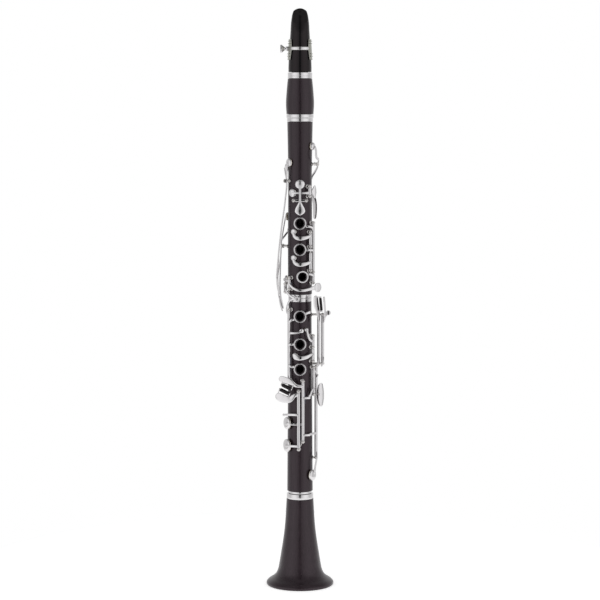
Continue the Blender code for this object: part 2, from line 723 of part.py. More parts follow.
def make_low_f_key():
    paddle = plate(
        ((3.4, -20, 234.6), (-4, -20.6, 235.2), (-11.5, -19.8, 239.5), (-18.5, -17.6, 241.8),
         (-24.2, -15.2, 243.2)),
        (3.4, 3.8, 7, 7.8, 6.4), PADDLE_FACE,
    )
    pad_arm = arm(
        ((10.5, 190, 17.4), (0, 190, 16.1), (-12, 190, 16), (-26, 190, 17.2), (-42, 190.2, 19.8),
         (-57, 190.3, 20.2)),
        (3, 3, 3, 3, 3.4, 4), 1.2,
    )
    links = [plate(((3.4, -19.6, z), (8, -19.2, z), (12, -17.2, z)), (3, 3, 3)) for z in (221, 178)]
    pad = cup(-60, 190.3, 14.6, PAD_RAISED, 4, 16)
    shapes = [paddle, *roller_mount(*UPPER_ROLLER, UP, 4.5), pad_arm, *links, pad]
    key("low_f_key", "low_f", (171.6, 238.8), shapes)
    make_roller("upper_roller", *UPPER_ROLLER, PADDLE_ROLLER_R)


def make_low_e_key():
    paddle = plate(
        ((-1.6, -20.4, 225), (-6.5, -21, 223.8), (-12, -20.4, 219.4), (-18, -18.6, 220),
         (-22.6, -17, 221.4), (-28, -14.6, 223.8)),
        (3.4, 4.4, 7, 9, 9.6, 8), PADDLE_FACE,
    )
    pad_arm = arm(
        ((-4.8, 165, 20.2), (-20, 165, 19.9), (-40, 164.6, 19.6), (-58, 164.3, 20)), (3, 3, 3, 4),
    )
    spur = arm(
        ((-4.8, 201.5, 20.2), (-20, 201.5, 20.4), (-44, 201, 20.8), (-66, 199.8, 21)), (3, 3, 3, 3),
    )
    tip = rod(at(-66, 199.8, 19), at(-66, 199.8, 22), 2.2)
    shapes = [paddle, *roller_mount(*LOWER_ROLLER, -UP, 5), pad_arm, spur, tip]
    key("low_e_key", "low_e", (162.6, 226.8), [*shapes, cup(-60, 164.3, 15.2, PAD_RAISED, 4, 16)])
    make_roller("lower_roller", *LOWER_ROLLER, PADDLE_ROLLER_R)


def make_little_finger_hinges():
    """The two long rods side by side, tied together under the keys."""
    tie = rod(at(10.5, 170.1, 15.8), at(-4.8, 161.1, 15.8), 0.7)
    hinge_rod("little_finger_hinges", ["low_f", "low_e"], [(170.1, 240.2), (161.1, 228.2)], [tie])


def make_left_levers():
    """The left little finger's two levers, standing off the side on tall posts."""
    inner = plate(
        ((21.5, -4.8, 307), (21.6, -8.6, 311), (20.8, -12.4, 320), (18.6, -14.8, 329),
         (18, -15.4, 338.6)),
        (4, 5, 8, 9, 6.5),
    )
    inner_foot = plate(((21.4, -4.6, 266), (21, -8, 262), (20.2, -10.6, 256)), (3.4, 3.4, 3))
    shapes = [inner, *roller_mount(*SIDE_ROLLER, Vector((-1, 0.2, 0)), 3.6), inner_foot]
    key("left_f_sharp_lever", "left_inner", (260, 314), shapes)
    make_roller("side_roller", *SIDE_ROLLER, 1.6)
    outer = plate(
        ((27.2, 0.1, 306), (28.4, -4, 312), (28.6, -8.6, 320), (28, -10.6, 329), (27.4, -11.4, 337)),
        (4, 4.4, 4.6, 4.6, 3.4),
    )
    stalk = rod(Vector((26.8, 0.6, 309.5)), Vector((32.5, -1.2, 317.3)), 1.1, 8)
    knob = rod(Vector((32.6, 0.6, 317.4)), Vector((32.6, -3.4, 317.4)), 2.7, 10)
    outer_foot = plate(((27.2, -0.2, 266), (26.8, -5, 262), (24.6, -9, 256)), (3.4, 3.4, 3))
    key("left_e_lever", "left_outer", (260, 314), [outer, stalk, knob, outer_foot])
    ties = []
    for height in (258.6, 315.4):
        ties.append(rod(on_hinge("left_inner", height), on_hinge("left_outer", height), 1.2, 8))
    hinge_rod("left_lever_hinges", ["left_inner", "left_outer"], [(258.6, 315.4), (258.6, 315.4)], ties)


def make_low_f_sharp_key():
    pad_arm = arm(((84, 156, 19.4), (71, 150, 20.6), (62, 140, 20), (57, 131, 19.6)), (3.4, 3.2, 3.2, 4))
    touch = plate(
        ((19.2, -3.2, 223), (21.4, -4.5, 223), (24.4, -5.7, 223), (27.7, -6.8, 223)), (10, 22, 28, 22),
        Vector((0.3, -1, 0)),
    )
    under = arm(((84, 178, 19), (68, 178, 17.8), (52, 178, 17.3), (38, 178, 17.2)), (3, 3, 3, 3), 1.2)
    top = plate(((19, -3.2, 244), (20.8, -7.6, 246)), (3.4, 3))
    pad = cup(56, 130, 12.8, PAD_RAISED, 3.6, 14)
    key("low_f_sharp_key", "low_f_sharp", (150.8, 253.6), [pad_arm, touch, under, top, pad])
    under = arm(((62, 231, 18.6), (50, 229, 18.8), (42, 223.6, 17.8), (34, 221, 17.5)), (3, 3, 3, 3), 1.2)
    top = arm(((62, 250, 19.2), (70, 251, 20.4)), (3.4, 3))
    key("link_lever", "link", (225.2, 253.6), [under, top])
    ties = [rod(on_hinge("link", 255.2), on_hinge("low_f_sharp", 255.2), 1.2, 8)]
    hinge_rod("right_side_hinges", ["low_f_sharp", "link"], [(149.2, 255.2), (223.7, 255.2)], ties)


def make_thumb_rest():
    """A plate on the back of the lower joint with a hook for the thumb, and its two screws."""
    wood = body_radius(262) + GAP
    back, screws = Vector((0, 1, 0)), (252, 269)
    base = plate(((0, wood + 1.3, 249), (0, wood + 1.3, 272)), (12, 12), back, 2)
    hook = plate(
        ((0, wood + 1, 259), (0, wood + 8, 258), (0, wood + 15, 260), (0, wood + 17, 263)),
        (13, 14, 14, 12), UP, 2,
    )
    holes = [rod(Vector((0, 10, z)), Vector((0, 24, z)), 1.6, 10) for z in screws]
    solid("thumb_rest", SILVER, [base, hook], holes)
    for name, z in zip(("thumb_rest_lower_screw", "thumb_rest_upper_screw"), screws):
        shank = rod(Vector((0, wood + 0.3, z)), Vector((0, wood + 3, z)), 1.2, 8)
        head = rod(Vector((0, wood + 2.6, z)), Vector((0, wood + 3.8, z)), 2.3, 12)
        solid(name, STEEL, [shank, head])


def main():
    clear_scene()
    make_upper_joint()
    make_lower_joint()
    make_barrel()
    make_bell()
    make_rings()
    make_tenon_corks()
    make_mouthpiece()
    make_reed()
    make_ligature()
    make_register_key()
    make_trill_keys()
    make_side_keys()
    make_a_key()
    make_g_sharp_key()
    make_upper_rings()
    make_upper_slivers()
    make_c_sharp_key()
    make_bridge_lever()
    make_lower_rings()
    make_lower_slivers()
    make_low_f_key()
    make_low_e_key()
    make_little_finger_hinges()
    make_left_levers()
    make_low_f_sharp_key()
    make_thumb_rest()


main()
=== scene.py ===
"""The looks of a clarinet with six finger rings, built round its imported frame.

Sizes are in millimetres and turned into metres by MM. The bore runs along +Z and the finger
holes face -Y. A place on the instrument is given by its angle (degrees from the front,
positive towards +X), its height and its distance from the bore's axis.
"""

import json
from math import copysign, cos, pi, radians, sin, sqrt

import bmesh
import bpy
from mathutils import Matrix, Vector


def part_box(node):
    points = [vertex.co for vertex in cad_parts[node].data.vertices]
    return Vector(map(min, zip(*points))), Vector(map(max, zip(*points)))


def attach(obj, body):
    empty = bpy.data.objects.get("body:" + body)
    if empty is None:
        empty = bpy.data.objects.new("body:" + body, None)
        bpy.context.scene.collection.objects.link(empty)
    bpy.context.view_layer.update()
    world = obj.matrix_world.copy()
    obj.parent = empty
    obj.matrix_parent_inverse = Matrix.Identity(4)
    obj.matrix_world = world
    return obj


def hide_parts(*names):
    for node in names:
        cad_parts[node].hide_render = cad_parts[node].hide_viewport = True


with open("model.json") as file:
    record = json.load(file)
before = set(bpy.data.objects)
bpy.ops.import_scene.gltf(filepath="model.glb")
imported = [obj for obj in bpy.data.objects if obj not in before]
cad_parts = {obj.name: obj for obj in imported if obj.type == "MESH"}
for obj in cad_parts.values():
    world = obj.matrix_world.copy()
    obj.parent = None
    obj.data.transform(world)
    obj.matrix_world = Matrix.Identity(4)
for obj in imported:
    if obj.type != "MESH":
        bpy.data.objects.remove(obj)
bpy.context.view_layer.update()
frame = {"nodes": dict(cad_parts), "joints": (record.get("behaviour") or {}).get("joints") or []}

MM = 0.001
UP = Vector((0, 0, 1))
BODY = "clarinet_body"

JOINTS = {joint["child"]: joint for joint in frame["joints"]}
NODES = frame["nodes"]


def level(node, top=True):
    """The height of a node's top or foot, in millimetres."""
    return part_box(node)[1 if top else 0].z / MM


# ---------------------------------------------------------------- materials


def new_material(name, colour, roughness, metallic=0.0, **inputs):
    made = bpy.data.materials.new(name)
    made.use_nodes = True
    shader = made.node_tree.nodes["Principled BSDF"]
    shader.inputs["Base Color"].default_value = (*colour, 1)
    shader.inputs["Roughness"].default_value = roughness
    shader.inputs["Metallic"].default_value = metallic
    for label, value in inputs.items():
        shader.inputs[label.replace("_", " ")].default_value = value
    return made


def add_node(made, kind, **settings):
    node = made.node_tree.nodes.new(kind)
    for name, value in settings.items():
        if name in node.inputs:
            node.inputs[name].default_value = value
        else:
            setattr(node, name, value)
    return node


def stretched_noise(made, scale, detail, stretch=(1, 1, 1), roughness=0.5):
    """Noise in the object's own space, drawn out along an axis."""
    place = add_node(made, "ShaderNodeTexCoord")
    mapping = add_node(made, "ShaderNodeMapping")
    mapping.inputs["Scale"].default_value = stretch
    noise = add_node(made, "ShaderNodeTexNoise", Scale=scale, Detail=detail, Roughness=roughness)
    links = made.node_tree.links
    links.new(place.outputs["Object"], mapping.inputs["Vector"])
    links.new(mapping.outputs["Vector"], noise.inputs["Vector"])
    return noise.outputs["Fac"]


def ramp(made, source, stops):
    """A colour ramp over source, in a material or a world; stops are (position, colour)."""
    node = add_node(made, "ShaderNodeValToRGB")
    made.node_tree.links.new(source, node.inputs["Fac"])
    elements = node.color_ramp.elements
    while len(elements) < len(stops):
        elements.new(0.5)
    for element, (position, colour) in zip(elements, stops):
        element.position = position
        element.color = (*colour, 1)
    return node.outputs["Color"]


def spread(made, source, low, high):
    """Maps a 0 to 1 source to low..high."""
    node = add_node(made, "ShaderNodeMapRange")
    node.inputs["To Min"].default_value = low
    node.inputs["To Max"].default_value = high
    made.node_tree.links.new(source, node.inputs["Value"])
    return node.outputs["Result"]


def wire(made, source, label):
    shader = made.node_tree.nodes["Principled BSDF"]
    made.node_tree.links.new(source, shader.inputs[label])


def bump(made, source, strength, distance):
    node = add_node(made, "ShaderNodeBump")
    node.inputs["Strength"].default_value = strength
    node.inputs["Distance"].default_value = distance
    made.node_tree.links.new(source, node.inputs["Height"])
    wire(made, node.outputs["Normal"], "Normal")


def blackwood():
    """Oiled African blackwood: near black, with fine straight grain along the bore."""
    made = new_material("blackwood", (0.018, 0.012, 0.015), 0.3, Specular_IOR_Level=0.42,
                        Specular_Tint=(1.0, 0.85, 0.93, 1.0), Coat_Weight=0.12, Coat_Roughness=0.14)
    grain = stretched_noise(made, 900, 6, (1, 1, 0.035), 0.62)
    colours = (
        (0.3, (0.009, 0.005, 0.007)), (0.62, (0.021, 0.013, 0.017)), (0.8, (0.038, 0.024, 0.028)),
    )
    wire(made, ramp(made, grain, colours), "Base Color")
    wire(made, spread(made, grain, 0.22, 0.38), "Roughness")
    bump(made, grain, 0.25, 0.0002)
    return made


def ebonite(name="ebonite", roughness=0.14):
    """Polished hard rubber."""
    made = new_material(name, (0.004, 0.004, 0.0045), roughness, Specular_IOR_Level=0.3,
                        Specular_Tint=(1.0, 0.84, 0.88, 1.0))
    haze = stretched_noise(made, 260, 3)
    wire(made, spread(made, haze, roughness - 0.05, roughness + 0.09), "Roughness")
    return made


def plated(name, colour, low, high):
    """Bright plate with faint wiping marks."""
    made = new_material(name, colour, low, 1.0)
    wear = stretched_noise(made, 420, 5, (1, 1, 0.4), 0.6)
    wire(made, spread(made, wear, low, high), "Roughness")
    tone = ((0.35, tuple(part * 0.96 for part in colour)), (0.7, colour))
    wire(made, ramp(made, wear, tone), "Base Color")
    bump(made, wear, 0.05, 0.00005)
    return made


def cane():
    """Dry cane: straw coloured, with fibres along the reed."""
    made = new_material("cane", (0.75, 0.58, 0.3), 0.6, Specular_IOR_Level=0.3)
    fibre = stretched_noise(made, 1500, 4, (1, 1, 0.03), 0.6)
    colours = ((0.3, (0.56, 0.38, 0.15)), (0.55, (0.74, 0.56, 0.27)), (0.8, (0.85, 0.70, 0.42)))
    wire(made, ramp(made, fibre, colours), "Base Color")
    bump(made, fibre, 0.3, 0.0001)
    return made


def cork():
    made = new_material("cork", (0.55, 0.36, 0.2), 0.85)
    grains = stretched_noise(made, 1200, 3)
    wire(made, ramp(made, grains, ((0.3, (0.32, 0.18, 0.09)), (0.6, (0.6, 0.41, 0.24)))), "Base Color")
    bump(made, grains, 0.5, 0.0003)
    return made


def pad_skin():
    """Pale fish skin over felt."""
    made = new_material("pad_skin", (0.8, 0.74, 0.62), 0.55)
    mottle = stretched_noise(made, 800, 4)
    wire(made, ramp(made, mottle, ((0.3, (0.72, 0.63, 0.48)), (0.7, (0.86, 0.81, 0.70)))), "Base Color")
    bump(made, mottle, 0.2, 0.0001)
    return made


WOOD = blackwood()
EBONITE = ebonite()
ROLLER = ebonite("roller_plastic", 0.16)
SILVER = plated("silver_plate", (0.74, 0.725, 0.735), 0.1, 0.18)
NICKEL = plated("dull_nickel", (0.40, 0.40, 0.36), 0.2, 0.32)
STEEL = plated("hinge_steel", (0.62, 0.60, 0.59), 0.15, 0.26)
BLUE_STEEL = plated("spring_steel", (0.20, 0.22, 0.27), 0.2, 0.35)
CANE = cane()
CORK = cork()
PAD = pad_skin()

# ---------------------------------------------------------------- shapes


def at(angle, height, radius):
    """The point at this angle, height and distance from the bore's axis."""
    turn = radians(angle)
    return Vector((radius * sin(turn), -radius * cos(turn), height))


def outward(point):
    return Vector((point.x, point.y, 0)).normalized()


def loft(sections, closed=False):
    """Skins sections of equally many points; an open run is capped at both ends."""
    count = len(sections[0])
    points = [point for section in sections for point in section]
    faces = []
    for step in range(len(sections) if closed else len(sections) - 1):
        here = step * count
        after = (step + 1) % len(sections) * count
        for side in range(count):
            beside = (side + 1) % count
            faces.append((here + side, here + beside, after + beside, after + side))
    if not closed:
        faces.append(tuple(range(count)))
        faces.append(tuple(range(len(points) - count, len(points))))
    return points, faces


def circle(centre, normal, radius, sides):
    normal = normal.normalized()
    across = normal.orthogonal().normalized()
    other = normal.cross(across)
    turns = [2 * pi * side / sides for side in range(sides)]
    return [centre + radius * (cos(turn) * across + sin(turn) * other) for turn in turns]


def lathe(foot, way, outline, sides=40, closed=False):
    """Turns an outline of (distance along way, radius) round the axis through foot."""
    way = way.normalized()
    sections = [circle(foot + way * far, way, max(radius, 0.01), sides) for far, radius in outline]
    return loft(sections, closed)


def rounded(outline, corner):
    """Cuts each corner of a turned outline with a short arc."""
    result = []
    count = len(outline)
    for index, (along, radius) in enumerate(outline):
        here = Vector((along, radius))
        before = Vector(outline[index - 1])
        after = Vector(outline[(index + 1) % count])
        first = here + (before - here).normalized() * min(corner, (before - here).length / 2.1)
        last = here + (after - here).normalized() * min(corner, (after - here).length / 2.1)
        for part in (0, 0.3, 0.7, 1):
            blend = first.lerp(here, part).lerp(here.lerp(last, part), part)
            result.append((blend.x, blend.y))
    return result


def catmull(values, position):
    """A smooth curve through values (numbers or vectors) at a position from 0 to len - 1."""
    last = len(values) - 1
    index = min(int(position), last - 1)
    part = position - index
    before = values[max(index - 1, 0)]
    start, end = values[index], values[index + 1]
    after = values[min(index + 2, last)]
    slope_a, slope_b = (end - before) * 0.5, (after - start) * 0.5
    square, cube = part * part, part**3
    return (start * (2 * cube - 3 * square + 1) + slope_a * (cube - 2 * square + part)
            + end * (3 * square - 2 * cube) + slope_b * (cube - square))


RUN_STEP = 0.55
RUN_PARTS = 24
END_SHARES = (0, 0.02, 0.08, 0.2, 0.36, 0.56, 0.8)
LONGEST_END = 0.3


def smooth_run(path, widths):
    """Evenly spaced (point, width, distance to start, distance to end) along a smooth path.

    There are more of them within half a width of each end, which strap rounds. A short list of
    widths goes on with its last one.
    """
    widths = list(widths) + [widths[-1]] * (len(path) - len(widths))
    places = [index / RUN_PARTS for index in range((len(path) - 1) * RUN_PARTS + 1)]
    points = [catmull(path, place) for place in places]
    sizes = [catmull([float(width) for width in widths], place) for place in places]
    lengths = [0.0]
    for one, other in zip(points, points[1:]):
        lengths.append(lengths[-1] + (other - one).length)
    total = lengths[-1]
    at_start, at_end = (min(size / 2, total * LONGEST_END) for size in (sizes[0], sizes[-1]))
    count = max(int(total / RUN_STEP), 6)
    marks = {index * total / count for index in range(count + 1)}
    marks |= {at_start * part for part in END_SHARES} | {total - at_end * part for part in END_SHARES}
    marks = sorted(mark for mark in marks if -1e-6 <= mark <= total + 1e-6)
    kept = [marks[0]]
    for mark in marks[1:]:
        if mark - kept[-1] > 0.02:
            kept.append(mark)
    result = []
    index = 0
    for mark in kept:
        while index < len(lengths) - 2 and lengths[index + 1] < mark:
            index += 1
        span = lengths[index + 1] - lengths[index]
        part = min(max((mark - lengths[index]) / span, 0), 1) if span else 0
        point = points[index].lerp(points[index + 1], part)
        width = sizes[index] + (sizes[index + 1] - sizes[index]) * part
        result.append((point, width, mark, total - mark))
    return result


def swell(value, power):
    """A cosine or sine raised to a power below 1 with its sign kept, which squares a circle off."""
    return copysign(abs(value) ** power, value)


def strap(path, widths, thick=1.3, outwards=None, crown=0.25, sides=16, ends=(True, True)):
    """A forged strap along a smooth path, with soft edges, a slight crown and round ends."""
    run = smooth_run([Vector(point) for point in path], widths)
    sections = []
    for index, (point, width, from_start, from_end) in enumerate(run):
        ahead = run[min(index + 1, len(run) - 1)][0] - run[max(index - 1, 0)][0]
        up = outwards or outward(point)
        side = ahead.cross(up).normalized()
        up = side.cross(ahead).normalized()
        shrink = 1.0
        for distance, is_round in ((from_start, ends[0]), (from_end, ends[1])):
            reach = min(width / 2, (from_start + from_end) * LONGEST_END)
            if is_round and distance < reach:
                shrink *= max(sqrt(max(1 - (1 - distance / reach) ** 2, 0)), 0.12)
        half, rise = width / 2 * shrink, thick / 2 * shrink**0.4
        section = []
        for corner in range(sides):
            turn = 2 * pi * (corner + 0.5) / sides
            x, y = swell(cos(turn), 0.62), swell(sin(turn), 0.75)
            lift = crown * (1 - x * x) if y > 0 else 0
            section.append(point + side * half * x + up * (rise * y + lift * rise * y))
        sections.append(section)
    return loft(sections)


def arm(places, widths, thick=1.3, **settings):
    """A strap through places given as (angle, height, radius)."""
    return strap([at(*place) for place in places], widths, thick, **settings)


def rod(start, end, radius, sides=24, chamfer=0.15):
    length = (end - start).length
    outline = ((0, radius - chamfer), (chamfer, radius),
               (length - chamfer, radius), (length, radius - chamfer))
    return lathe(start, end - start, outline, sides)


def ball(centre, radius):
    turns = [pi * row / 12 for row in range(13)]
    return lathe(centre, UP, [(-cos(turn) * radius, sin(turn) * radius) for turn in turns], 24)


RING_BASE = 16.9
RING_THICK = 1.4


def finger_ring(angle, height, base, inner, outer):
    """A ring of soft rectangular section, standing off the wood."""
    centre = at(angle, height, base)
    middle, half = (inner + outer) / 2, (outer - inner) / 2
    outline = []
    for corner in range(20):
        turn = 2 * pi * corner / 20
        rise = RING_THICK / 2 * (1 + swell(sin(turn), 0.8))
        outline.append((rise, middle + half * swell(cos(turn), 0.7)))
    return lathe(centre, outward(centre), outline, 72, closed=True)


# ---------------------------------------------------------------- pieces


class Piece:
    """Closed shells that make one object, each shell with its own material."""

    def __init__(self, name):
        self.name = name
        self.points = []
        self.faces = []
        self.slots = []
        self.materials = []

    def add(self, finish, *shapes):
        if finish not in self.materials:
            self.materials.append(finish)
        slot = self.materials.index(finish)
        for points, faces in shapes:
            start = len(self.points)
            self.points.extend(points)
            self.faces.extend(tuple(corner + start for corner in face) for face in faces)
            self.slots.extend([slot] * len(faces))
        return self

    def make(self, sharp=38):
        mesh = bpy.data.meshes.new(self.name)
        mesh.from_pydata([point * MM for point in self.points], [], self.faces)
        for finish in self.materials:
            mesh.materials.append(finish)
        mesh.polygons.foreach_set("material_index", self.slots)
        shell = bmesh.new()
        shell.from_mesh(mesh)
        bmesh.ops.recalc_face_normals(shell, faces=shell.faces)
        shell.to_mesh(mesh)
        shell.free()
        mesh.shade_smooth()
        mesh.set_sharp_from_angle(angle=radians(sharp))
        obj = bpy.data.objects.new(self.name, mesh)
        bpy.context.scene.collection.objects.link(obj)
        return obj

    def place(self, body, slot, *replaced, sharp=38):
        """Makes the object, rides it on its body and hides the nodes that it stands for."""
        obj = self.make(sharp)
        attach(obj, body)
        if replaced:
            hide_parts(*replaced)
        return obj


def cut(obj, cutters):
    """Takes closed shapes, which may overlap each other, out of an object."""
    helper = Piece("cutter").add(WOOD, *cutters).make()
    boolean = obj.modifiers.new("holes", "BOOLEAN")
    boolean.operation = "DIFFERENCE"
    boolean.solver = "EXACT"
    boolean.use_self = True
    boolean.object = helper
    graph = bpy.context.evaluated_depsgraph_get()
    carved = bpy.data.meshes.new_from_object(obj.evaluated_get(graph))
    obj.modifiers.clear()
    obj.data = carved
    carved.shade_smooth()
    carved.set_sharp_from_angle(angle=radians(32))
    bpy.data.objects.remove(helper, do_unlink=True)


# ---------------------------------------------------------------- wooden bodies

BORE_R = 7.3
TENON_R = 9.3
SOCKET_R = 10.6
CHIMNEY_R = 4.8
CHIMNEY_TOP_R = 16.4
HOLE_LENGTH = 16
SOFT_EDGE = 0.15

# How wide the wood is inside the metal rings, and how high the floors of the sockets are.
UPPER_SEAT_R = 12.3
LOWER_SEAT_R = 11.8
BARREL_TOP_SEAT_R = 12.3
BARREL_FOOT_SEAT_R = 13.2
BELL_SEAT_R = 12.9
BARREL_FOOT_SOCKET, BARREL_TOP_SOCKET = 557, 573.8
LOWER_SOCKET = 321
BELL_SOCKET = 89.3

# Outlines are (height, radius) from the top down, and holes are (angle, height, radius).

UPPER_OUTLINE = ((536.3, 14.55), (515, 14.1), (487, 13.65), (470, 13.5), (401, 13.9), (339.5, 13.8))
LOWER_OUTLINE = ((330.5, 13.2), (326, 13.25), (216, 14.05), (110.7, 14.8))
BARREL_OUTLINE = ((585.1, 13.9), (572, 15.15), (557.5, 16.05), (545, 15.4))
BELL_OUTLINE = (
    (101.1, 15.5), (75, 17.1), (57.5, 18.95), (39.7, 21.7), (27.9, 23.6), (18.5, 25.4),
    (12.6, 28), (9, 31.65), (6, 36.2), (3.6, 38.6),
)
BELL_INSIDE = (
    (2.4, 36.2), (5.5, 32.6), (8.5, 28.6), (12.6, 25.2), (18.5, 22.6), (27.9, 20.2),
    (39.7, 17), (57.5, 12.5), (75, 8.6),
)
BELL_RIM = (
    (3.1, 38.82), (2.2, 38.97), (1.3, 38.9), (0.6, 38.6), (0.12, 38.1), (0, 37.6), (0, 37.0),
    (0.3, 36.6), (1.1, 36.35),
)
UPPER_FINGER_HOLES = ((0, 421.1, 4.0), (0, 391.2, 4.0), (9, 360, 3.8))
LOWER_FINGER_HOLES = ((0, 314.6, 4.0), (0, 282.5, 4.0), (0, 253.7, 4.0))
THUMB_HOLE = (180, 436, 3.5)
UPPER_PAD_HOLES = (
    (64, 508.5, 1.6), (-55, 490, 2.5), (-95, 484, 2.5), (0, 465.4, 2.8), (-33, 455.6, 2.5),
    (-110, 428, 2.5), (-135, 412, 2.5), (-26, 411.4, 1.8), (-26, 381.5, 1.8), (-88, 356, 2.6),
)
LOWER_PAD_HOLES = (
    (7, 298, 1.4), (26, 299, 1.4), (-20, 270, 1.6), (-60, 190.3, 4.6), (-60, 164.3, 4.8),
    (56, 130, 4.4),
)


def body_radius(height):
    """The wood's outer radius at this height."""
    outline = UPPER_OUTLINE if height > UPPER_OUTLINE[-1][0] - 5 else LOWER_OUTLINE
    for (top, top_r), (foot, foot_r) in zip(outline, outline[1:]):
        if height >= foot:
            return foot_r + (top_r - foot_r) * min((height - foot) / (top - foot), 1)
    return outline[-1][1]


def curve_through(outline, steps):
    """A turned outline with smooth points between its own."""
    values = [Vector(pair) for pair in outline]
    count = (len(values) - 1) * steps
    points = [catmull(values, index / steps) for index in range(count + 1)]
    return [(point.x, point.y) for point in points]


def hole(angle, height, radius):
    """A cutter from inside the bore out through the wood."""
    return lathe(at(angle, height, BORE_R - 1.5), outward(at(angle, height, 1)),
                 ((0, radius), (HOLE_LENGTH, radius)), 32)


def wooden(name, outline, replaced, holes=(), chimneys=(), sides=96):
    """A turned wooden body with its holes, and a raised seat round each finger hole."""
    obj = Piece(name).add(WOOD, lathe(Vector(), UP, outline, sides, closed=True)).make(30)
    if holes:
        cut(obj, [hole(*place) for place in holes])
    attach(obj, BODY)
    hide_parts(replaced)
    for index, (angle, height, radius) in enumerate(chimneys):
        way = outward(at(angle, height, 1))
        base = body_radius(height) - 2
        seat = CHIMNEY_TOP_R - base
        outline = (
            (0, CHIMNEY_R), (seat - 0.5, CHIMNEY_R), (seat - 0.12, CHIMNEY_R - 0.2),
            (seat, CHIMNEY_R - 0.55), (seat - 0.1, radius + 0.3), (seat - 0.7, radius), (0, radius),
        )
        shape = lathe(at(angle, height, base), way, outline, 48, closed=True)
        Piece(f"{name}_seat_{index + 1}").add(EBONITE, shape).place(BODY, "ebonite")


def make_wood():
    top, foot = level("upper_joint"), level("upper_joint", False)
    shoulder = level("upper_joint_ring")
    edge, edge_r = UPPER_OUTLINE[0]
    outline = [(top, TENON_R), (shoulder, TENON_R), (shoulder, UPPER_SEAT_R), (edge, UPPER_SEAT_R)]
    outline += [(edge, edge_r - SOFT_EDGE), (edge - SOFT_EDGE, edge_r)]
    outline += curve_through(UPPER_OUTLINE, 6)[1:] + [(UPPER_OUTLINE[-1][0], TENON_R)]
    outline += [(foot, TENON_R), (foot, BORE_R), (top, BORE_R)]
    wooden("upper_joint_wood", outline, "upper_joint",
           UPPER_FINGER_HOLES + UPPER_PAD_HOLES + (THUMB_HOLE,), UPPER_FINGER_HOLES)

    top, foot = level("lower_joint"), level("lower_joint", False)
    shoulder = level("lower_joint_ring", False)
    outline = [(top, SOCKET_R), (top, LOWER_SEAT_R), (LOWER_OUTLINE[0][0], LOWER_SEAT_R)]
    outline += curve_through(LOWER_OUTLINE, 6) + [(LOWER_OUTLINE[-1][0], LOWER_SEAT_R)]
    outline += [(shoulder, LOWER_SEAT_R), (shoulder, TENON_R), (foot, TENON_R), (foot, BORE_R)]
    outline += [(LOWER_SOCKET, BORE_R), (LOWER_SOCKET, SOCKET_R)]
    wooden("lower_joint_wood", outline, "lower_joint",
           LOWER_FINGER_HOLES + LOWER_PAD_HOLES, LOWER_FINGER_HOLES)

    top, foot = level("barrel"), level("barrel", False)
    edge, edge_r = BARREL_OUTLINE[0]
    outline = [(top, SOCKET_R), (top, BARREL_TOP_SEAT_R), (edge, BARREL_TOP_SEAT_R)]
    outline += [(edge, edge_r - SOFT_EDGE)] + curve_through(BARREL_OUTLINE, 8)
    outline += [(BARREL_OUTLINE[-1][0], BARREL_FOOT_SEAT_R), (foot, BARREL_FOOT_SEAT_R)]
    outline += [(foot, SOCKET_R), (BARREL_FOOT_SOCKET, SOCKET_R), (BARREL_FOOT_SOCKET, BORE_R)]
    outline += [(BARREL_TOP_SOCKET, BORE_R), (BARREL_TOP_SOCKET, SOCKET_R)]
    wooden("barrel_wood", outline, "barrel")

    top = level("bell")
    edge, edge_r = BELL_OUTLINE[0]
    outline = [(top, SOCKET_R), (top, BELL_SEAT_R), (edge, BELL_SEAT_R), (edge, edge_r - SOFT_EDGE)]
    outline += curve_through(BELL_OUTLINE, 6) + list(BELL_RIM) + curve_through(BELL_INSIDE, 5)
    outline += [(BELL_SOCKET, BORE_R), (BELL_SOCKET, SOCKET_R)]
    wooden("bell_wood", outline, "bell", sides=160)


def make_rings():
    """Bright metal rings with softened edges, two of them with a fine turned line."""
    rings = {
        "barrel_top_ring": (12.6, 13.95, 0.42), "barrel_foot_ring": (13.5, 15.5, None),
        "upper_joint_ring": (12.7, 14.9, None), "socket_ring": (12.2, 13.3, 0.5),
        "lower_joint_ring": (12.2, 13.6, None), "bell_ring": (13.2, 15.3, None),
    }
    for name, (inner, outer, line) in rings.items():
        foot, top = level(name, False), level(name)
        outline = [(foot, inner), (foot, outer)]
        if line:
            middle = foot + (top - foot) * line
            outline += [(middle - 0.25, outer), (middle, outer - 0.3), (middle + 0.25, outer)]
        outline += [(top, outer), (top, inner)]
        shape = lathe(Vector(), UP, rounded(outline, 0.3), 128, closed=True)
        Piece(name + "_plate").add(SILVER, shape).place(BODY, "silver_plate", name, sharp=50)


# ---------------------------------------------------------------- mouthpiece

# Rows of (height, half width, front, back).
BEAK = (
    (592.6, 13.2, -13.2, 13.2), (600, 13.15, -13.15, 11.3), (618, 12.3, -12.3, 10.8),
    (636, 11, -11, 10.1), (648, 10.3, -6.6, 9.4), (656.7, 9.1, -0.7, 8.8), (662, 7.6, 4, 8.4),
    (664.9, 6.3, 6.6, 8.1),
)
BEAK_FOOT, BEAK_TIP = BEAK[0][0], BEAK[-1][0]
TIP_ROUND_FROM = 659
TIP_NARROW_FROM = 663.6

# Rows of (height, half width, thickness), and the gap between the reed and the beak's table.
REED = (
    (600, 5.7, 2.9), (628, 6.1, 2.9), (633, 6.15, 2.85), (637, 6.2, 2.5), (645, 6.3, 1.75),
    (652, 6.4, 1.15), (660, 6.45, 0.55), (664.2, 6.5, 0.3),
)
REED_FOOT, REED_TIP = REED[0][0], REED[-1][0]
REED_ROUND_FROM = 661
REED_GAP = 0.3
REED_ROOM = 3.2


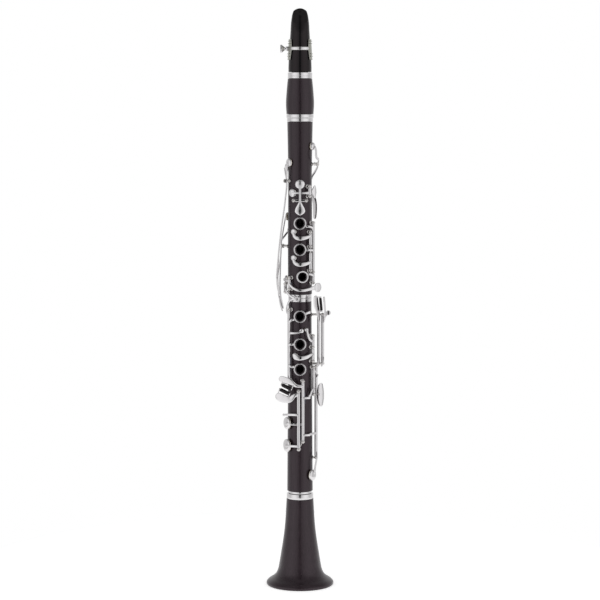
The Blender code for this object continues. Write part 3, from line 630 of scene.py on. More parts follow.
def between(rows, height, smooth=False):
    """The values at this height, on straight or smooth runs between rows that start with theirs."""
    for index, (low, high) in enumerate(zip(rows, rows[1:])):
        if height <= high[0] + 1e-6:
            part = max((height - low[0]) / (high[0] - low[0]), 0)
            if smooth:
                return [catmull(column, index + part) for column in list(zip(*rows))[1:]]
            return [a + (b - a) * part for a, b in zip(low[1:], high[1:])]
    return list(rows[-1][1:])


def beak_section(height, half, front, back, sides=72):
    """An oval, cut flat at the back, where the reed lies."""
    if front > -half:
        centre, depth = (front + min(back, half)) / 2, (min(back, half) - front) / 2
    else:
        centre, depth = 0, half
    section = []
    for side in range(sides):
        turn = 2 * pi * side / sides
        section.append(Vector((half * sin(turn), min(centre - depth * cos(turn), back), height)))
    return section


def round_tip(section, height, half):
    """Lets a section fall away towards its sides near the tip, which rounds the tip."""
    fall = 1.9 * max((height - TIP_ROUND_FROM) / (BEAK_TIP - TIP_ROUND_FROM), 0) ** 2
    return [point - UP * fall * (point.x / half) ** 2 for point in section]


def make_mouthpiece():
    foot = level("mouthpiece", False)
    shank = ((foot, TENON_R - 0.3), (foot + 0.3, TENON_R), (BEAK_FOOT, TENON_R), (BEAK_FOOT, 13),
             (BEAK_FOOT + 0.15, 13.2))
    sections = [beak_section(height, radius, -radius, radius) for height, radius in shank]
    for height in [593 + index * 0.8 for index in range(89)] + [664.3, 664.7, 664.88]:
        half, front, back = between(BEAK, height, smooth=True)
        half -= 0.25 * max(height - TIP_NARROW_FROM, 0)
        sections.append(round_tip(beak_section(height, half, front, back), height, half))
    obj = Piece("mouthpiece_body").add(EBONITE, loft(sections)).make(34)
    bore = lathe(UP * (foot - 2), UP, ((0, BORE_R), (32, BORE_R)), 48)
    back = Vector((0, 1, 0))
    chamber = strap([(0, 0, 604), (0, 2.6, 620), (0, 6, 640), (0, 9.2, 655)], (9, 10, 11, 11.4), 11.5,
                    back, 0, ends=(False, False))
    window = strap([(0, 10, 626), (0, 10, 657)], (9.5, 11.2), 6, back, 0)
    for cutter in (bore, chamber, window):
        cut(obj, [cutter])
    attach(obj, BODY)
    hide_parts("mouthpiece")


def make_reed():
    """Thick and barked at the butt, scraped thin towards a rounded tip."""
    sections = []
    for index in range(97):
        height = REED_FOOT + (REED_TIP - REED_FOOT) * index / 96
        half, thick = between(REED, height)
        half -= 1.6 * (max(height - REED_ROUND_FROM, 0) / (REED_TIP - REED_ROUND_FROM)) ** 3
        face = between(BEAK, height)[2] + REED_GAP
        edge = thick * 0.45
        section = [Vector((-half, face, height)), Vector((half, face, height))]
        for column in range(15):
            x = half * (1 - column / 7)
            rise = edge + (thick - edge) * sqrt(max(1 - (x / half) ** 2, 0))
            section.append(Vector((x, face + rise, height)))
        sections.append(round_tip(section, height, half))
    Piece("reed_cane").add(CANE, loft(sections)).place(BODY, "cane", "reed", sharp=45)


LIGATURE_FOOT, LIGATURE_TOP = 606.5, 629.5
BAND_FOOT, BAND_TOP = 617.2, 620.9
SCREW_HEIGHT = 619
SLEEVE_IN, SLEEVE_OUT, RIB_OUT = 0.7, 1.2, 1.7
BEAD_RISE, BEAD_WIDTH = 0.35, 1.2
RIB_HEIGHTS = (610.5, 613.2, 624.8, 627.5)


def round_beak(turn, height, margin, wider=0.0):
    """A point this far outside the beak and the reed, turned round them from the front."""
    half, _, table = between(BEAK, height)
    front, back = -half - margin, table + REED_ROOM + margin
    middle, depth = (front + back) / 2, (back - front) / 2
    return Vector(((half + margin + wider) * sin(turn), middle - depth * cos(turn), height))


def make_ligature():
    """A sheet sleeve with beaded edges, cut back in front to a narrow band, with one screw."""
    sections = []
    columns, rows = 144, 12
    for column in range(columns):
        turn = 2 * pi * column / columns
        aside = abs((turn + pi) % (2 * pi) - pi)
        part = min(max((aside - radians(43)) / radians(7), 0), 1)
        part = part * part * (3 - 2 * part)
        foot = BAND_FOOT + (LIGATURE_FOOT - BAND_FOOT) * part
        top = BAND_TOP + (LIGATURE_TOP - BAND_TOP) * part
        outer, inner = [], []
        for row in range(rows + 1):
            share = row / rows
            height = foot + (top - foot) * share
            edge = min(share, 1 - share) * (top - foot)
            bead = BEAD_RISE * sqrt(max(1 - edge / BEAD_WIDTH, 0))
            outer.append(round_beak(turn, height, SLEEVE_OUT + bead))
            inner.append(round_beak(turn, height, SLEEVE_IN))
        sections.append(outer + inner[::-1])
    ribs = []
    for height in RIB_HEIGHTS:
        for side in (-1, 1):
            path = [round_beak(side * radians(angle), height, RIB_OUT, 0.05)
                    for angle in (58, 72, 90, 108, 122)]
            ribs.append(strap(path, (0.9,), 0.7, crown=0))
    middle = (BAND_FOOT + BAND_TOP) / 2
    half = between(BEAK, middle)[0]
    path = [at(angle, middle, half + RIB_OUT) for angle in (-46, -30, -15, 0, 15, 30, 46)]
    band = strap(path, (BAND_TOP - BAND_FOOT - 0.3,), 0.8, crown=0.4)
    lug = rod(Vector((-12.9, 0, SCREW_HEIGHT)), Vector((-16.3, 0, SCREW_HEIGHT)), 2.6, 32, 0.4)
    sheet = Piece("ligature_sheet").add(NICKEL, loft(sections, closed=True), *ribs)
    sheet.add(SILVER, lug, band).place(BODY, "silver_plate", "ligature", sharp=50)
    make_ligature_screw()


def make_ligature_screw():
    """A conical head with a knurled rim on a plain shaft."""
    head = []
    teeth = 28
    for x, radius, depth in ((-16.9, 1.4, 0), (-17, 1.6, 0), (-20.3, 4.4, 0), (-20.5, 4.55, 0.2),
                             (-22.1, 4.55, 0.2), (-22.35, 4.2, 0)):
        ring = []
        for tooth in range(teeth * 2):
            turn = pi * tooth / teeth
            here = radius - (depth if tooth % 2 else 0)
            ring.append(Vector((x, here * cos(turn), SCREW_HEIGHT + here * sin(turn))))
        head.append(ring)
    shaft = rod(Vector((-13.6, 0, SCREW_HEIGHT)), Vector((-17.2, 0, SCREW_HEIGHT)), 1.1)
    rim = ((0, 3.4), (0.06, 3.2), (0.06, 0.1))
    cap = lathe(Vector((-22.33, 0, SCREW_HEIGHT)), Vector((-1, 0, 0)), rim, 32)
    Piece("ligature_thumb_screw").add(SILVER, loft(head), shaft, cap).place(
        "ligature_screw", "silver_plate", "ligature_screw", sharp=25)


# ---------------------------------------------------------------- key work

TUBE_R = 1.8
TUBE_BORE_R = 1.15
ROD_R = 1.0
HEAD_R = 2.1
SLOT_HALF = 0.18
SPRING_ASIDE = 2.5
SPRING_DEPTH = 0.6


def hinge_of(key):
    """(a point on the key's hinge axis, its direction) in millimetres; upright axes point up."""
    joint = JOINTS[key]
    way = Vector(joint["axis"]).normalized()
    if way.z < -0.5 or way.y < -0.5 or (abs(way.z) < 0.5 and abs(way.y) < 0.5 and way.x < 0):
        way = -way
    return Vector(joint["pos_m"]) / MM, way


def along(key, distance):
    """A point on the hinge: at that height if it is upright, else that far from its middle."""
    point, way = hinge_of(key)
    if way.z > 0.5:
        return Vector((point.x, point.y, distance))
    return point + way * distance


def tube(key, start, end):
    """A key's hinge tube with bright lines turned near its ends."""
    first, last = along(key, start), along(key, end)
    length = (last - first).length
    outline = [(0, TUBE_BORE_R), (0, TUBE_R - 0.15), (0.15, TUBE_R)]
    for line in (0.9, length - 0.9):
        outline += [(line - 0.14, TUBE_R), (line, TUBE_R - 0.16), (line + 0.14, TUBE_R)]
    outline += [(length - 0.15, TUBE_R), (length, TUBE_R - 0.15), (length, TUBE_BORE_R)]
    return lathe(first, last - first, outline, 32, closed=True)


def slotted(centre, way, radius):
    """A screw head: a disc with two half discs on it, which leave the slot between them."""
    across = way.orthogonal().normalized()
    other = way.cross(across)
    shapes = [lathe(centre, way, ((0, radius), (0.25, radius)), 24)]
    for sign in (-1, 1):
        ring = []
        for step in range(13):
            turn = pi * step / 12
            away = SLOT_HALF + (radius - SLOT_HALF) * sin(turn)
            ring.append(across * radius * cos(turn) * 0.985 + other * sign * away)
        shapes.append(loft([[centre + way * lift + point for point in ring] for lift in (0.2, 0.6)]))
    return shapes


def post(key, distance, outwards_end=0):
    """A post: a foot on the wood, a tapered stem and a round head on the rod.

    outwards_end is 1 or -1 where a slotted screw closes the rod's end, and 0 elsewhere.
    """
    head = along(key, distance)
    point, way = hinge_of(key)
    inward = -outward(point)
    flat = Vector((head.x, head.y, 0))
    nearest = -flat.dot(inward)
    aside = (flat + inward * nearest).length
    reach = nearest - sqrt(max(body_radius(head.z) ** 2 - aside**2, 1))
    foot = head + inward * (reach + 0.6)
    length = (head - foot).length
    stem = ((0, 1.5), (0.6, 1.5), (0.6, 2.1), (1.0, 2.2), (1.25, 2.0), (1.5, 1.3),
            (length * 0.6, 1.02), (length, 1.25))
    barrel = ((-1.25, 1.2), (-1.15, 1.75), (-0.7, HEAD_R), (0, HEAD_R + 0.06), (0.7, HEAD_R),
              (1.15, 1.75), (1.25, 1.2))
    shapes = [lathe(foot, -inward, stem, 28), lathe(head, way, barrel, 32)]
    if outwards_end:
        shapes += slotted(head + way * outwards_end * 1.2, way * outwards_end, 1.15)
    return shapes


def hinge_set(name, node, lines, slots=True):
    """The rods and posts of one node, not yet placed; lines are (key, its posts along the axis)."""
    piece = Piece(name)
    for key, places in lines:
        first, last = min(places), max(places)
        piece.add(STEEL, rod(along(key, first), along(key, last), ROD_R))
        slotted_ends = {first: -1, last: 1} if slots else {}
        for place in places:
            piece.add(STEEL, *post(key, place, slotted_ends.get(place, 0)))
    return piece, node


def needle_spring(key, start, end):
    """A blued needle spring beside a hinge tube, from its post to a hook on the key."""
    _, way = hinge_of(key)
    out = outward(along(key, (start + end) / 2))
    across = way.cross(out).normalized()
    first = along(key, start) + across * SPRING_ASIDE * 0.3 - out * SPRING_DEPTH
    last = along(key, end) + across * SPRING_ASIDE - out * SPRING_DEPTH
    path = (first, first.lerp(last, 0.35) + across * 0.25, first.lerp(last, 0.7) + across * 0.3, last)
    wire_shape = strap(path, (0.7, 0.6, 0.5, 0.4), 0.5, crown=0, sides=8)
    Piece(key + "_spring").add(BLUE_STEEL, wire_shape).place(BODY, "hinge_steel")


class Key:
    """A key's metal and its pads, gathered before it is placed on its body."""

    def __init__(self, name, span):
        self.name = name
        self.metal = Piece(name + "_metal").add(SILVER, tube(name, *span))
        self.pads = Piece(name + "_pads")

    def add(self, *shapes):
        self.metal.add(SILVER, *shapes)
        return self

    def arm(self, *places, **settings):
        return self.add(arm(*places, **settings))

    def strap(self, *points, **settings):
        return self.add(strap(*points, **settings))

    def cup(self, angle, height, diameter, raised=0.0, thick=3.2):
        """A domed cup over its pad."""
        radius = diameter / 2
        foot = at(angle, height, body_radius(height) + 0.35 + raised)
        way = outward(foot)
        pad = [(0, radius * 0.5), (0.05, radius * 0.86), (0.35, radius * 0.94), (1.25, radius * 0.94)]
        self.pads.add(PAD, lathe(foot, way, pad, 48))
        rim, shoulder = 1.05, 1.75
        outline = [(rim, radius * 0.93), (rim, radius - 0.12), (rim + 0.1, radius),
                   (rim + 0.55, radius), (shoulder, radius - 0.1)]
        for step in range(1, 10):
            turn = pi / 2 * step / 9
            outline.append((shoulder + (thick - shoulder) * sin(turn), (radius - 0.1) * cos(turn)))
        self.metal.add(SILVER, lathe(foot, way, outline, 56))
        return self

    def place(self):
        self.metal.place(self.name, "silver_plate", self.name)
        if self.pads.points:
            self.pads.place(self.name, "silver_plate")


def ring_arm(key_angle, height, ring_angle, ring_height):
    """An arm from a hinge over the front to a finger ring."""
    step = (ring_angle - key_angle) / 3
    return arm(
        ((key_angle, height, 19.1), (key_angle + step, height, 20.6),
         (key_angle + 2 * step, ring_height, 19.5), (ring_angle, ring_height, 17.7)),
        (3.2, 2.7, 2.5, 3.2),
    )


def make_register_key():
    key = Key("register_key", (-4, 4)).cup(64, 508.5, 9, thick=4.4)
    key.arm(((64, 508.5, 18.9), (63, 503.6, 20.4), (63, 499, 20.6), (68, 495.6, 20.4),
             (78, 494.4, 20.6), (89, 493.6, 21), (99, 489.4, 21), (108, 484.6, 20.9),
             (124, 479, 20.8), (140, 472, 20.6), (148, 461, 20.6), (141, 451, 20.8)),
            (3.4, 3.6, 3.6, 3.4, 3.1, 3, 3.2, 3.2, 3, 3, 3.2, 5), crown=0.5)
    key.arm(((140, 453, 20.8), (127, 445, 20.8), (123, 435, 20.6), (123, 424.5, 20.2)), (5, 8, 8.4, 6))
    key.place()
    return hinge_set("register_posts", "register_hinge", [("register_key", (-5.4, 5.4))])


def make_trill_keys():
    upper = Key("upper_trill_key", (-1.9, 1.8)).cup(-55, 490, 9.5, thick=3.6)
    upper.strap(((-14.5, -10.2, 490), (-15, -8.4, 482), (-15.3, -6.2, 474), (-15.3, -5.4, 469),
                 (-15.3, -5.4, 462), (-16.4, -5.4, 452), (-18, -5.4, 438), (-20.6, -5.4, 420),
                 (-23.9, -5.4, 392), (-26.5, -6, 362), (-26.5, -7, 357)),
                (3, 2.8, 2.8, 2.9, 2.9, 2.8, 2.8, 2.8, 2.8, 3, 4))
    upper.strap(((-26.4, -7, 359), (-26, -7.4, 352), (-25, -7.7, 345), (-23.6, -7.8, 340)),
                (3.6, 5.2, 5.2, 3.6))
    upper.place()
    lower = Key("lower_trill_key", (-1.7, 1.8)).cup(-95, 484, 9.5, thick=3.6)
    lower.strap(((-17.7, 1.4, 484), (-16.6, 0, 476), (-15.3, -1.4, 469), (-15.3, -1.5, 462),
                 (-16.4, -1.6, 452), (-18, -1.6, 438), (-20.6, -1.6, 420), (-23.9, -1.6, 392),
                 (-25.4, -1.6, 362), (-24.6, -1.6, 340), (-23.6, -2.2, 334)),
                (3, 2.8, 2.8, 2.9, 2.8, 2.7, 2.5, 2.4, 2.4, 2.8, 4))
    lower.strap(((-23.9, -2.2, 337), (-23, -2.9, 330), (-21.6, -3.4, 324), (-20.2, -3.6, 319.5)),
                (3.6, 5.4, 5.4, 3.6))
    lower.place()
    return hinge_set("trill_posts", "trill_hinge", [("upper_trill_key", (-3.4, 7.2))])


def make_side_keys():
    upper = Key("upper_side_key", (-1.8, 1.9)).cup(-110, 428, 9.5)
    upper.strap(((-16.4, 6, 428), (-18.6, 5.2, 416), (-21.2, 4.8, 400), (-21.5, 4.6, 394),
                 (-22.4, 4.4, 380),
                 (-25.2, 4, 362), (-25.8, 4, 356), (-25.2, 4, 348), (-23.6, 4, 341)),
                (3, 2.8, 2.9, 3, 2.8, 3, 4.4, 4.6, 3.6))
    upper.place()
    lower = Key("lower_side_key", (-1.8, 1.7)).cup(-135, 412, 9.5)
    lower.strap(((-12.3, 12.4, 412), (-17, 11.4, 406), (-21.2, 8.9, 400), (-21.5, 8.6, 394),
                 (-22.2, 8.8, 380),
                 (-23, 9.2, 350), (-22.6, 9.2, 338), (-21.6, 9.4, 330), (-19.4, 9.4, 321)),
                (3, 2.8, 2.9, 3, 2.8, 2.9, 4, 5, 3.6))
    lower.place()
    return hinge_set("side_posts", "side_hinge", [("upper_side_key", (-3.4, 7.4))], slots=False)


def make_a_key():
    key = Key("a_key", (-5.6, 5.6)).cup(0, 465.4, 11, thick=4)
    key.arm(((0, 465.4, 18), (0, 461, 19.3), (0, 452, 20.1), (0, 447, 20.2), (0, 442, 19.9)),
            (3, 2.6, 2.4, 2.6, 3.4))
    key.arm(((0, 446, 20), (0, 442, 19.9), (0, 438.5, 19.75), (0, 435, 19.55), (0, 432, 19.35),
             (0, 430.3, 19.2)),
            (2.6, 6.4, 10, 11.6, 9.4, 6), 1.5, crown=0.7)
    key.place()
    return hinge_set("a_key_posts", "a_hinge", [("a_key", (-7.2, 7.2))])


def make_g_sharp_key():
    key = Key("g_sharp_key", (453.2, 461.6)).cup(-33, 455.6, 9.5, thick=3.8)
    key.arm(((36, 456, 19), (18, 455.6, 17.5), (0, 455.6, 17), (-18, 455.6, 17.2), (-33, 455.6, 17.7)),
            (3.2, 2.6, 2.4, 2.4, 3), 1.2)
    key.strap([at(36, 457, 20), at(41, 457, 21), at(49, 457, 22), at(57, 457, 22)], (5, 6.4, 15, 10))
    key.place()
    return hinge_set("g_sharp_posts", "g_sharp_hinge", [("g_sharp_key", (451.8, 463))])


def make_upper_rings():
    key = Key("upper_ring_key", (366.6, 420))
    key.add(finger_ring(0, 421.1, RING_BASE, 5.7, 7.2), finger_ring(0, 391.2, RING_BASE, 5.7, 7.2))
    key.add(ring_arm(58, 416, 21, 417.4), ring_arm(58, 390.4, 21, 390.8))
    key.place()
    third = Key("third_ring_key", (354.2, 363.4))
    third.add(finger_ring(9, 360, RING_BASE, 5.2, 7), ring_arm(58, 361.6, 26, 363))
    third.place()
    return hinge_set("upper_ring_posts", "upper_ring_hinge", [("upper_ring_key", (352.7, 365, 421.5))])


def make_crescents():
    """Two alike, one further down the same rod."""
    places = ((42, 407.2, 19.3), (28, 405.4, 18.7), (10, 404.2, 18.3), (-6, 404.2, 18.2),
              (-19, 406, 18.1), (-26, 410.6, 18))
    for name, lower, span in (("first_crescent_key", 0, (396, 409.4)),
                              ("second_crescent_key", 29.9, (368.4, 387.4))):
        key = Key(name, span).cup(-26, 411.4 - lower, 6.8, 0.8, 3)
        key.arm([(angle, height - lower, radius) for angle, height, radius in places],
                (3, 3.8, 4.6, 4.6, 4, 3), 1.4, crown=0.5)
        key.place()
    return hinge_set("crescent_posts", "crescent_hinge", [("first_crescent_key", (366.9, 394.2, 411))])


def make_c_sharp_key():
    key = Key("c_sharp_key", (347.4, 357.2)).cup(-88, 356, 9.5, thick=3.8)
    key.arm(((-42, 352, 19.2), (-28, 348, 19), (-10, 345.2, 18.8), (10, 344.6, 18.8), (30, 345.5, 19.2),
             (46, 347, 21),
             (56, 347.6, 22.4)), (3.2, 2.8, 2.8, 3, 3.4, 4.6, 6.4))
    key.arm(((49, 347.6, 21.8), (56, 347.6, 22.8), (64, 347.6, 24.2), (70, 347.6, 25.8)),
            (8, 10, 10.2, 8.6), crown=0.5)
    key.arm(((-42, 355, 19), (-60, 355.4, 19.5), (-76, 356, 18.9), (-88, 356, 18.1)), (3, 2.8, 2.8, 3))
    key.place()
    return hinge_set("c_sharp_posts", "c_sharp_hinge", [("c_sharp_key", (345.9, 358.7))])


def make_bridge():
    key = Key("bridge_lever", (343.5, 350.1))
    key.arm(((-66, 348, 19.5), (-54, 345, 20.4), (-43, 340.6, 20), (-31, 337.4, 19.3),
             (-17, 335.6, 18.9)),
            (3, 2.8, 2.7, 2.6, 2.8))
    key.add(finger_ring(-9, 334.8, 18.2, 1.2, 3.1))
    key.place()
    return hinge_set("bridge_posts", "bridge_hinge", [("bridge_lever", (342.1, 351.5))])


def make_lower_rings():
    key = Key("lower_ring_key", (242, 320.6)).cup(6.5, 298, 5.2, 1.1, 3)
    for height in (314.6, 282.5, 253.7):
        key.add(finger_ring(0, height, RING_BASE, 5.7, 7.2))
    for height, ring_height in ((308, 310.6), (282.5, 282.5), (258, 256.6)):
        key.add(ring_arm(-46, height, -21, ring_height))
    key.arm(((20, 317.6, 17.8), (32, 319, 18.4), (42, 319.6, 18.6)), (3, 2.8, 4.2))
    key.arm(((-46, 295.5, 18.8), (-28, 295.5, 19), (-8, 296, 18), (5, 297.6, 17.7)), (3, 2.6, 2.2, 2))
    key.arm(((-46, 317, 18.7), (-58, 320, 18), (-60, 326, 17), (-48, 332, 16), (-30, 334, 15.8),
             (-9, 334, 15.7)), (3, 2.4, 2.4, 2.4, 2.4, 2.8), 1)
    key.place()
    return hinge_set("lower_ring_posts", "lower_ring_hinge", [("lower_ring_key", (240.6, 322))])


def make_lower_crescents():
    fork = Key("fork_key", (280.2, 290.4)).cup(27.5, 299, 4.9, 0.5, 3.6)
    fork.arm(((56, 286, 19.2), (44, 286, 19.4), (34, 289, 19), (29, 294.6, 18.3), (27.5, 299, 17.8)),
             (3, 2.8, 2.8, 2.4, 2))
    fork.place()
    leaf = Key("lower_crescent_key", (264, 277)).cup(-20, 270, 5.6, 0.8, 3.4)
    leaf.arm(((56, 271, 19.2), (42, 270.2, 19), (26, 268, 18.6), (8, 266.8, 18.3), (-6, 266.8, 18.2),
              (-15, 268, 18.1), (-21, 269.6, 18), (-27, 271.4, 17.8)),
             (3.2, 3.4, 4.2, 4.8, 5.4, 6.4, 5.2, 1.8), 1.4, crown=0.5)
    leaf.place()
    return hinge_set("lower_crescent_posts", "lower_crescent_hinge",
                     [("fork_key", (262.6, 278.6, 291.9))])


def roller_ends(name, half):
    joint = JOINTS[name]
    middle, way = Vector(joint["pos_m"]) / MM, Vector(joint["axis"]).normalized()
    return middle - way * half, middle + way * half


def make_roller(name, half, radius):
    """A polished black roller, slightly barrelled."""
    first, last = roller_ends(name, half)
    length = (last - first).length
    outline = [(0, 0.9), (0, radius * 0.8)]
    for step in range(13):
        share = step / 12
        outline.append((0.2 + (length - 0.4) * share, radius * (0.93 + 0.07 * sin(pi * share) ** 0.5)))
    outline += [(length, radius * 0.8), (length, 0.9)]
    shape = lathe(first, last - first, outline, 40, closed=True)
    Piece(name + "_black").add(ROLLER, shape).place(name, "roller_plastic", name)


def roller_mount(name, half, towards, reach):
    """The pin of a roller, its lugs and the stays that hold it to its touch."""
    start, end = roller_ends(name, half)
    way = (end - start).normalized()
    stay = (towards - way * towards.dot(way)).normalized() * reach
    ends = start - way, end + way
    shapes = [rod(start - way * 1.2, end + way * 1.2, 0.6)]
    shapes += [rod(place - way * 0.6, place + way * 0.6, 1.5, 28, 0.3) for place in ends]
    shapes += [rod(place, place + stay, 0.62) for place in ends]
    return shapes


TOUCH_FACING = Vector((-0.5, -1, 0))


def make_low_f_key():
    key = Key("low_f_key", (171.6, 238.8)).cup(-60, 190.3, 14.6, 1.1, 4)
    key.strap(((3.4, -20, 234.6), (-4, -20.6, 235.2), (-11.5, -19.8, 239.5), (-18.5, -17.6, 241.8),
               (-24.2, -15.2, 243.2)), (3.4, 3.8, 7, 7.8, 6.4), 1.3, TOUCH_FACING, 0.5)
    key.add(*roller_mount("upper_roller", ROLLER_HALF, UP, 4.5))
    key.arm(((10.5, 190, 17.4), (0, 190, 16.1), (-12, 190, 16), (-26, 190, 17.2),
             (-42, 190.2, 19.8), (-57, 190.3, 20.2)), (3, 2.8, 2.8, 2.8, 3, 3.8), 1.2)
    for height in (221, 178):
        key.strap(((3.4, -19.8, height), (8, -19.2, height), (12, -17.2, height)), (3, 2.6, 3))
    key.place()
    make_roller("upper_roller", ROLLER_HALF, 2.2)


def make_low_e_key():
    key = Key("low_e_key", (162.6, 226.8)).cup(-60, 164.3, 15.2, 1.1, 4)
    key.strap(((-1.6, -20.4, 225), (-6.5, -21, 223.8), (-12, -20.4, 219.4), (-18, -18.6, 220),
               (-22.6, -17, 221.4), (-28, -14.6, 223.8)),
               (3.4, 4.4, 7, 9, 9.6, 8), 1.3, TOUCH_FACING, 0.5)
    key.add(*roller_mount("lower_roller", ROLLER_HALF, -UP, 5))
    key.arm(((-4.8, 165, 20.2), (-20, 165, 19.9), (-40, 164.6, 19.6), (-58, 164.3, 20.2)),
            (3, 2.8, 2.8, 3.8))
    key.arm(((-4.8, 201.5, 20.2), (-20, 201.5, 20.4), (-44, 201, 20.8), (-66, 199.8, 21)),
            (3, 2.8, 2.6, 3))
    key.add(ball(at(-66, 199.8, 20.4), 1.6))
    key.place()
    make_roller("lower_roller", ROLLER_HALF, 2.2)


def make_little_finger_keys():
    make_low_f_key()
    make_low_e_key()
    piece, node = hinge_set("little_finger_posts", "little_finger_hinges",
                            [("low_f_key", (170.1, 240.2)), ("low_e_key", (161.1, 228.2))])
    piece.add(STEEL, rod(at(10.5, 170.1, 15.8), at(-4.8, 161.1, 15.8), 0.7))
    return piece, node


ROLLER_HALF = 5.65
SIDE_ROLLER_HALF = 7.25


def make_left_levers():
    inner = Key("left_f_sharp_lever", (260, 314))
    inner.strap(((21.5, -4.8, 307), (21.6, -8.6, 311), (20.8, -12.4, 320), (18.6, -14.8, 329),
                 (18, -15.4, 338.6)),
                (4, 5, 8.4, 9, 7), 1.4)
    inner.add(*roller_mount("side_roller", SIDE_ROLLER_HALF, Vector((-1, 0.2, 0)), 3.6))
    inner.strap(((21.4, -4.6, 266), (21, -8, 262), (20.2, -10.6, 256)), (3.2, 3, 3))
    inner.place()
    make_roller("side_roller", SIDE_ROLLER_HALF, 1.6)
    outer = Key("left_e_lever", (260, 314))
    outer.strap(((27.2, 0.1, 306), (28.4, -4, 312), (28.6, -8.6, 320), (28, -10.6, 329),
                 (27.4, -11.4, 337)),
                (4, 4.4, 4.6, 4.6, 3.6), 1.4)
    outer.add(rod(Vector((26.8, 0.6, 309.5)), Vector((32.5, -1.2, 317.3)), 1.1))
    button = ((0, 2.3), (0.3, 2.7), (3.4, 2.7), (3.8, 2.4), (4, 1.6), (4, 0.2))
    outer.add(lathe(Vector((32.6, 0.6, 317.4)), Vector((0, -1, 0)), button, 32))
    outer.strap(((27.2, -0.2, 266), (26.8, -5, 262), (24.6, -9, 256)), (3.2, 3, 3))
    outer.place()
    heights = (258.6, 315.4)
    piece, node = hinge_set("left_lever_posts", "left_lever_hinges",
                            [("left_f_sharp_lever", heights), ("left_e_lever", heights)])
    for height in heights:
        piece.add(STEEL, rod(along("left_f_sharp_lever", height), along("left_e_lever", height), 1.2))
    return piece, node


def make_low_f_sharp_key():
    key = Key("low_f_sharp_key", (150.8, 253.6)).cup(56, 130, 12.8, 1.1, 3.6)
    key.arm(((84, 156, 19.6), (71, 150, 20.6), (62, 140, 20), (57, 131, 19.6)), (3.4, 3, 3, 3.8))
    key.strap(((19.2, -3.2, 223), (21.4, -4.5, 223), (24.4, -5.7, 223), (27.7, -6.8, 223)),
              (12, 23, 28, 25), 1.3, Vector((0.3, -1, 0)), 0.4)
    key.arm(((84, 178, 19.2), (68, 178, 17.8), (52, 178, 17.3), (38, 178, 17.2)), (3, 2.8, 2.8, 3), 1.2)
    key.strap(((19, -3.2, 244), (20.8, -7.6, 246)), (3.4, 3))
    key.place()
    link = Key("link_lever", (225.2, 253.6))
    link.arm(((62, 231, 18.8), (50, 229, 18.8), (42, 223.6, 17.8), (34, 221, 17.5)),
             (3, 2.8, 2.8, 3), 1.2)
    link.arm(((62, 250, 19.4), (70, 251, 20.4)), (3.4, 3))
    link.place()
    piece, node = hinge_set("right_side_posts", "right_side_hinges",
                            [("low_f_sharp_key", (149.2, 255.2)), ("link_lever", (223.7, 255.2))])
    piece.add(STEEL, rod(along("link_lever", 255.2), along("low_f_sharp_key", 255.2), 1.2))
    return piece, node


def make_thumb_rest():
    """A plate on the back of the lower joint with a curved hook, held by two screws."""
    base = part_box("thumb_rest")[0].y / MM
    back = Vector((0, 1, 0))
    plate = strap(((0, base + 1, 249), (0, base + 1, 260), (0, base + 1, 272)), (12,), 2, back, 0.1)
    hook = strap(((0, base + 1, 259), (0, base + 8, 258), (0, base + 14.6, 260), (0, base + 16.7, 263)),
                 (13, 13.8, 13.8, 12), 2, UP, 0.1)
    Piece("thumb_rest_metal").add(SILVER, plate, hook).place(BODY, "silver_plate", "thumb_rest")
    for name in ("thumb_rest_lower_screw", "thumb_rest_upper_screw"):
        corner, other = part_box(name)
        first, last = corner.y / MM, other.y / MM
        height = (corner + other).z / 2 / MM
        shapes = slotted(Vector((0, last - 0.7, height)), back, 2.2)
        shank = rod(Vector((0, first, height)), Vector((0, last - 0.6, height)), 1.2)
        Piece(name + "_head").add(STEEL, *shapes, shank).place(BODY, "hinge_steel", name)


def make_key_work():
    makers = (make_register_key, make_trill_keys, make_side_keys, make_a_key, make_g_sharp_key,
              make_upper_rings, make_crescents, make_c_sharp_key, make_bridge, make_lower_rings,
              make_lower_crescents, make_little_finger_keys, make_left_levers, make_low_f_sharp_key)
    for maker in makers:
        piece, node = maker()
        piece.place(BODY, "hinge_steel", node)
    make_thumb_rest()
    springs = {
        "upper_ring_key": (420.5, 400), "third_ring_key": (353.8, 358.5),
        "first_crescent_key": (410, 401), "c_sharp_key": (346.5, 353.5),
        "lower_ring_key": (241.4, 268), "fork_key": (291, 284),
        "low_f_key": (239.4, 214), "low_e_key": (162, 186), "left_f_sharp_lever": (314.6, 292),
        "left_e_lever": (314.6, 292), "low_f_sharp_key": (150, 174), "g_sharp_key": (462, 456),
    }
    for key, (start, end) in springs.items():
        needle_spring(key, start, end)


def finish_hidden():
    """The tenon corks keep their frame solids, with a cork finish."""
    for name in ("mouthpiece_cork", "upper_tenon_cork", "middle_tenon_cork", "bell_tenon_cork"):
        NODES[name].data.materials.clear()
        NODES[name].data.materials.append(CORK)


# ---------------------------------------------------------------- studio

# Places in metres, the sensor and the lens in millimetres, and the tilt down in degrees.
CAMERA_DISTANCE = 2.3
EYE_HEIGHT = 0.547
PITCH = 5.34
SENSOR = 36
LENS = 120.48

# Brightness round the room, by the angle from the camera's side as a share of a half turn,
# and up the room, by the sine of the elevation from -1 (0) to 1 (1).
ROOM_ROUND = (
    (0.0, 0.0), (0.032, 0.02), (0.045, 0.5), (0.08, 0.68), (0.14, 0.84), (0.2, 1.0), (0.3, 1.08),
    (0.4, 0.95), (0.5, 0.66), (0.6, 0.7), (1.0, 0.9),
)
ROOM_UP = ((0.0, 1.0), (0.5, 1.0), (0.74, 1.0), (0.82, 0.55), (1.0, 0.45))
FLOOR_GLOW = 0.6
FLOOR_R = 420


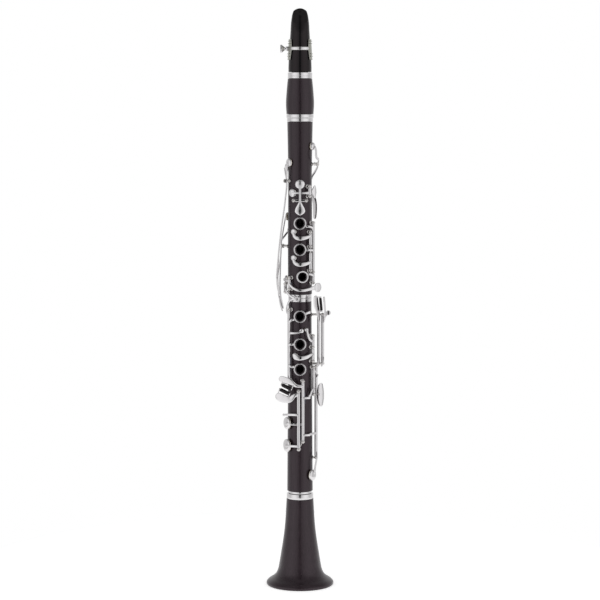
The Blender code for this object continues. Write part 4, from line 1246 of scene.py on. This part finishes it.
def make_stage():
    """A round sheet of white paper."""
    paper = new_material("paper", (0.93, 0.93, 0.93), 0.9, Specular_IOR_Level=0.1,
                         Emission_Color=(1, 1, 1, 1), Emission_Strength=FLOOR_GLOW)
    Piece("floor").add(paper, rod(-UP * 2, Vector(), FLOOR_R, 128, 0.5)).make()


def make_light():
    """Two soft boxes beside the camera with a dark gap between them, a white room and a dim ceiling."""
    world = bpy.data.worlds.new("studio")
    bpy.context.scene.world = world
    world.use_nodes = True
    nodes, links = world.node_tree.nodes, world.node_tree.links
    background = nodes["Background"]
    place = nodes.new("ShaderNodeTexCoord")
    split = nodes.new("ShaderNodeSeparateXYZ")
    links.new(place.outputs["Generated"], split.inputs[0])

    def math(operation, first, second=None):
        node = nodes.new("ShaderNodeMath")
        node.operation = operation
        for socket, value in zip(node.inputs, (first, second)):
            if isinstance(value, (int, float)):
                socket.default_value = value
            elif value is not None:
                links.new(value, socket)
        return node.outputs[0]

    aside = math("ABSOLUTE", split.outputs["X"])
    ahead = math("MULTIPLY", split.outputs["Y"], -1.0)
    azimuth = math("DIVIDE", math("ARCTAN2", aside, ahead), pi)
    round_room = ramp(world, azimuth, [(place, (value,) * 3) for place, value in ROOM_ROUND])
    climb = math("ADD", math("MULTIPLY", split.outputs["Z"], 0.5), 0.5)
    up_room = ramp(world, climb, [(place, (value,) * 3) for place, value in ROOM_UP])
    strength = math("MULTIPLY", round_room, up_room)
    seen = nodes.new("ShaderNodeLightPath").outputs["Is Camera Ray"]
    mixed = nodes.new("ShaderNodeMix")
    links.new(seen, mixed.inputs["Factor"])
    links.new(strength, mixed.inputs["A"])
    mixed.inputs["B"].default_value = 1.0
    links.new(mixed.outputs["Result"], background.inputs["Strength"])
    background.inputs["Color"].default_value = (1, 1, 1, 1)


def make_camera():
    camera = bpy.data.cameras.new("camera")
    camera.sensor_width = SENSOR
    camera.lens = LENS
    camera.clip_start, camera.clip_end = 0.05, 60
    obj = bpy.data.objects.new("camera", camera)
    obj.location = (0, -CAMERA_DISTANCE, EYE_HEIGHT)
    obj.rotation_euler = (radians(90 - PITCH), 0, 0)
    bpy.context.scene.collection.objects.link(obj)
    bpy.context.scene.camera = obj
    bpy.context.scene.view_settings.view_transform = "Standard"


make_wood()
make_rings()
make_mouthpiece()
make_reed()
make_ligature()
make_key_work()
finish_hidden()
make_stage()
make_light()
make_camera()
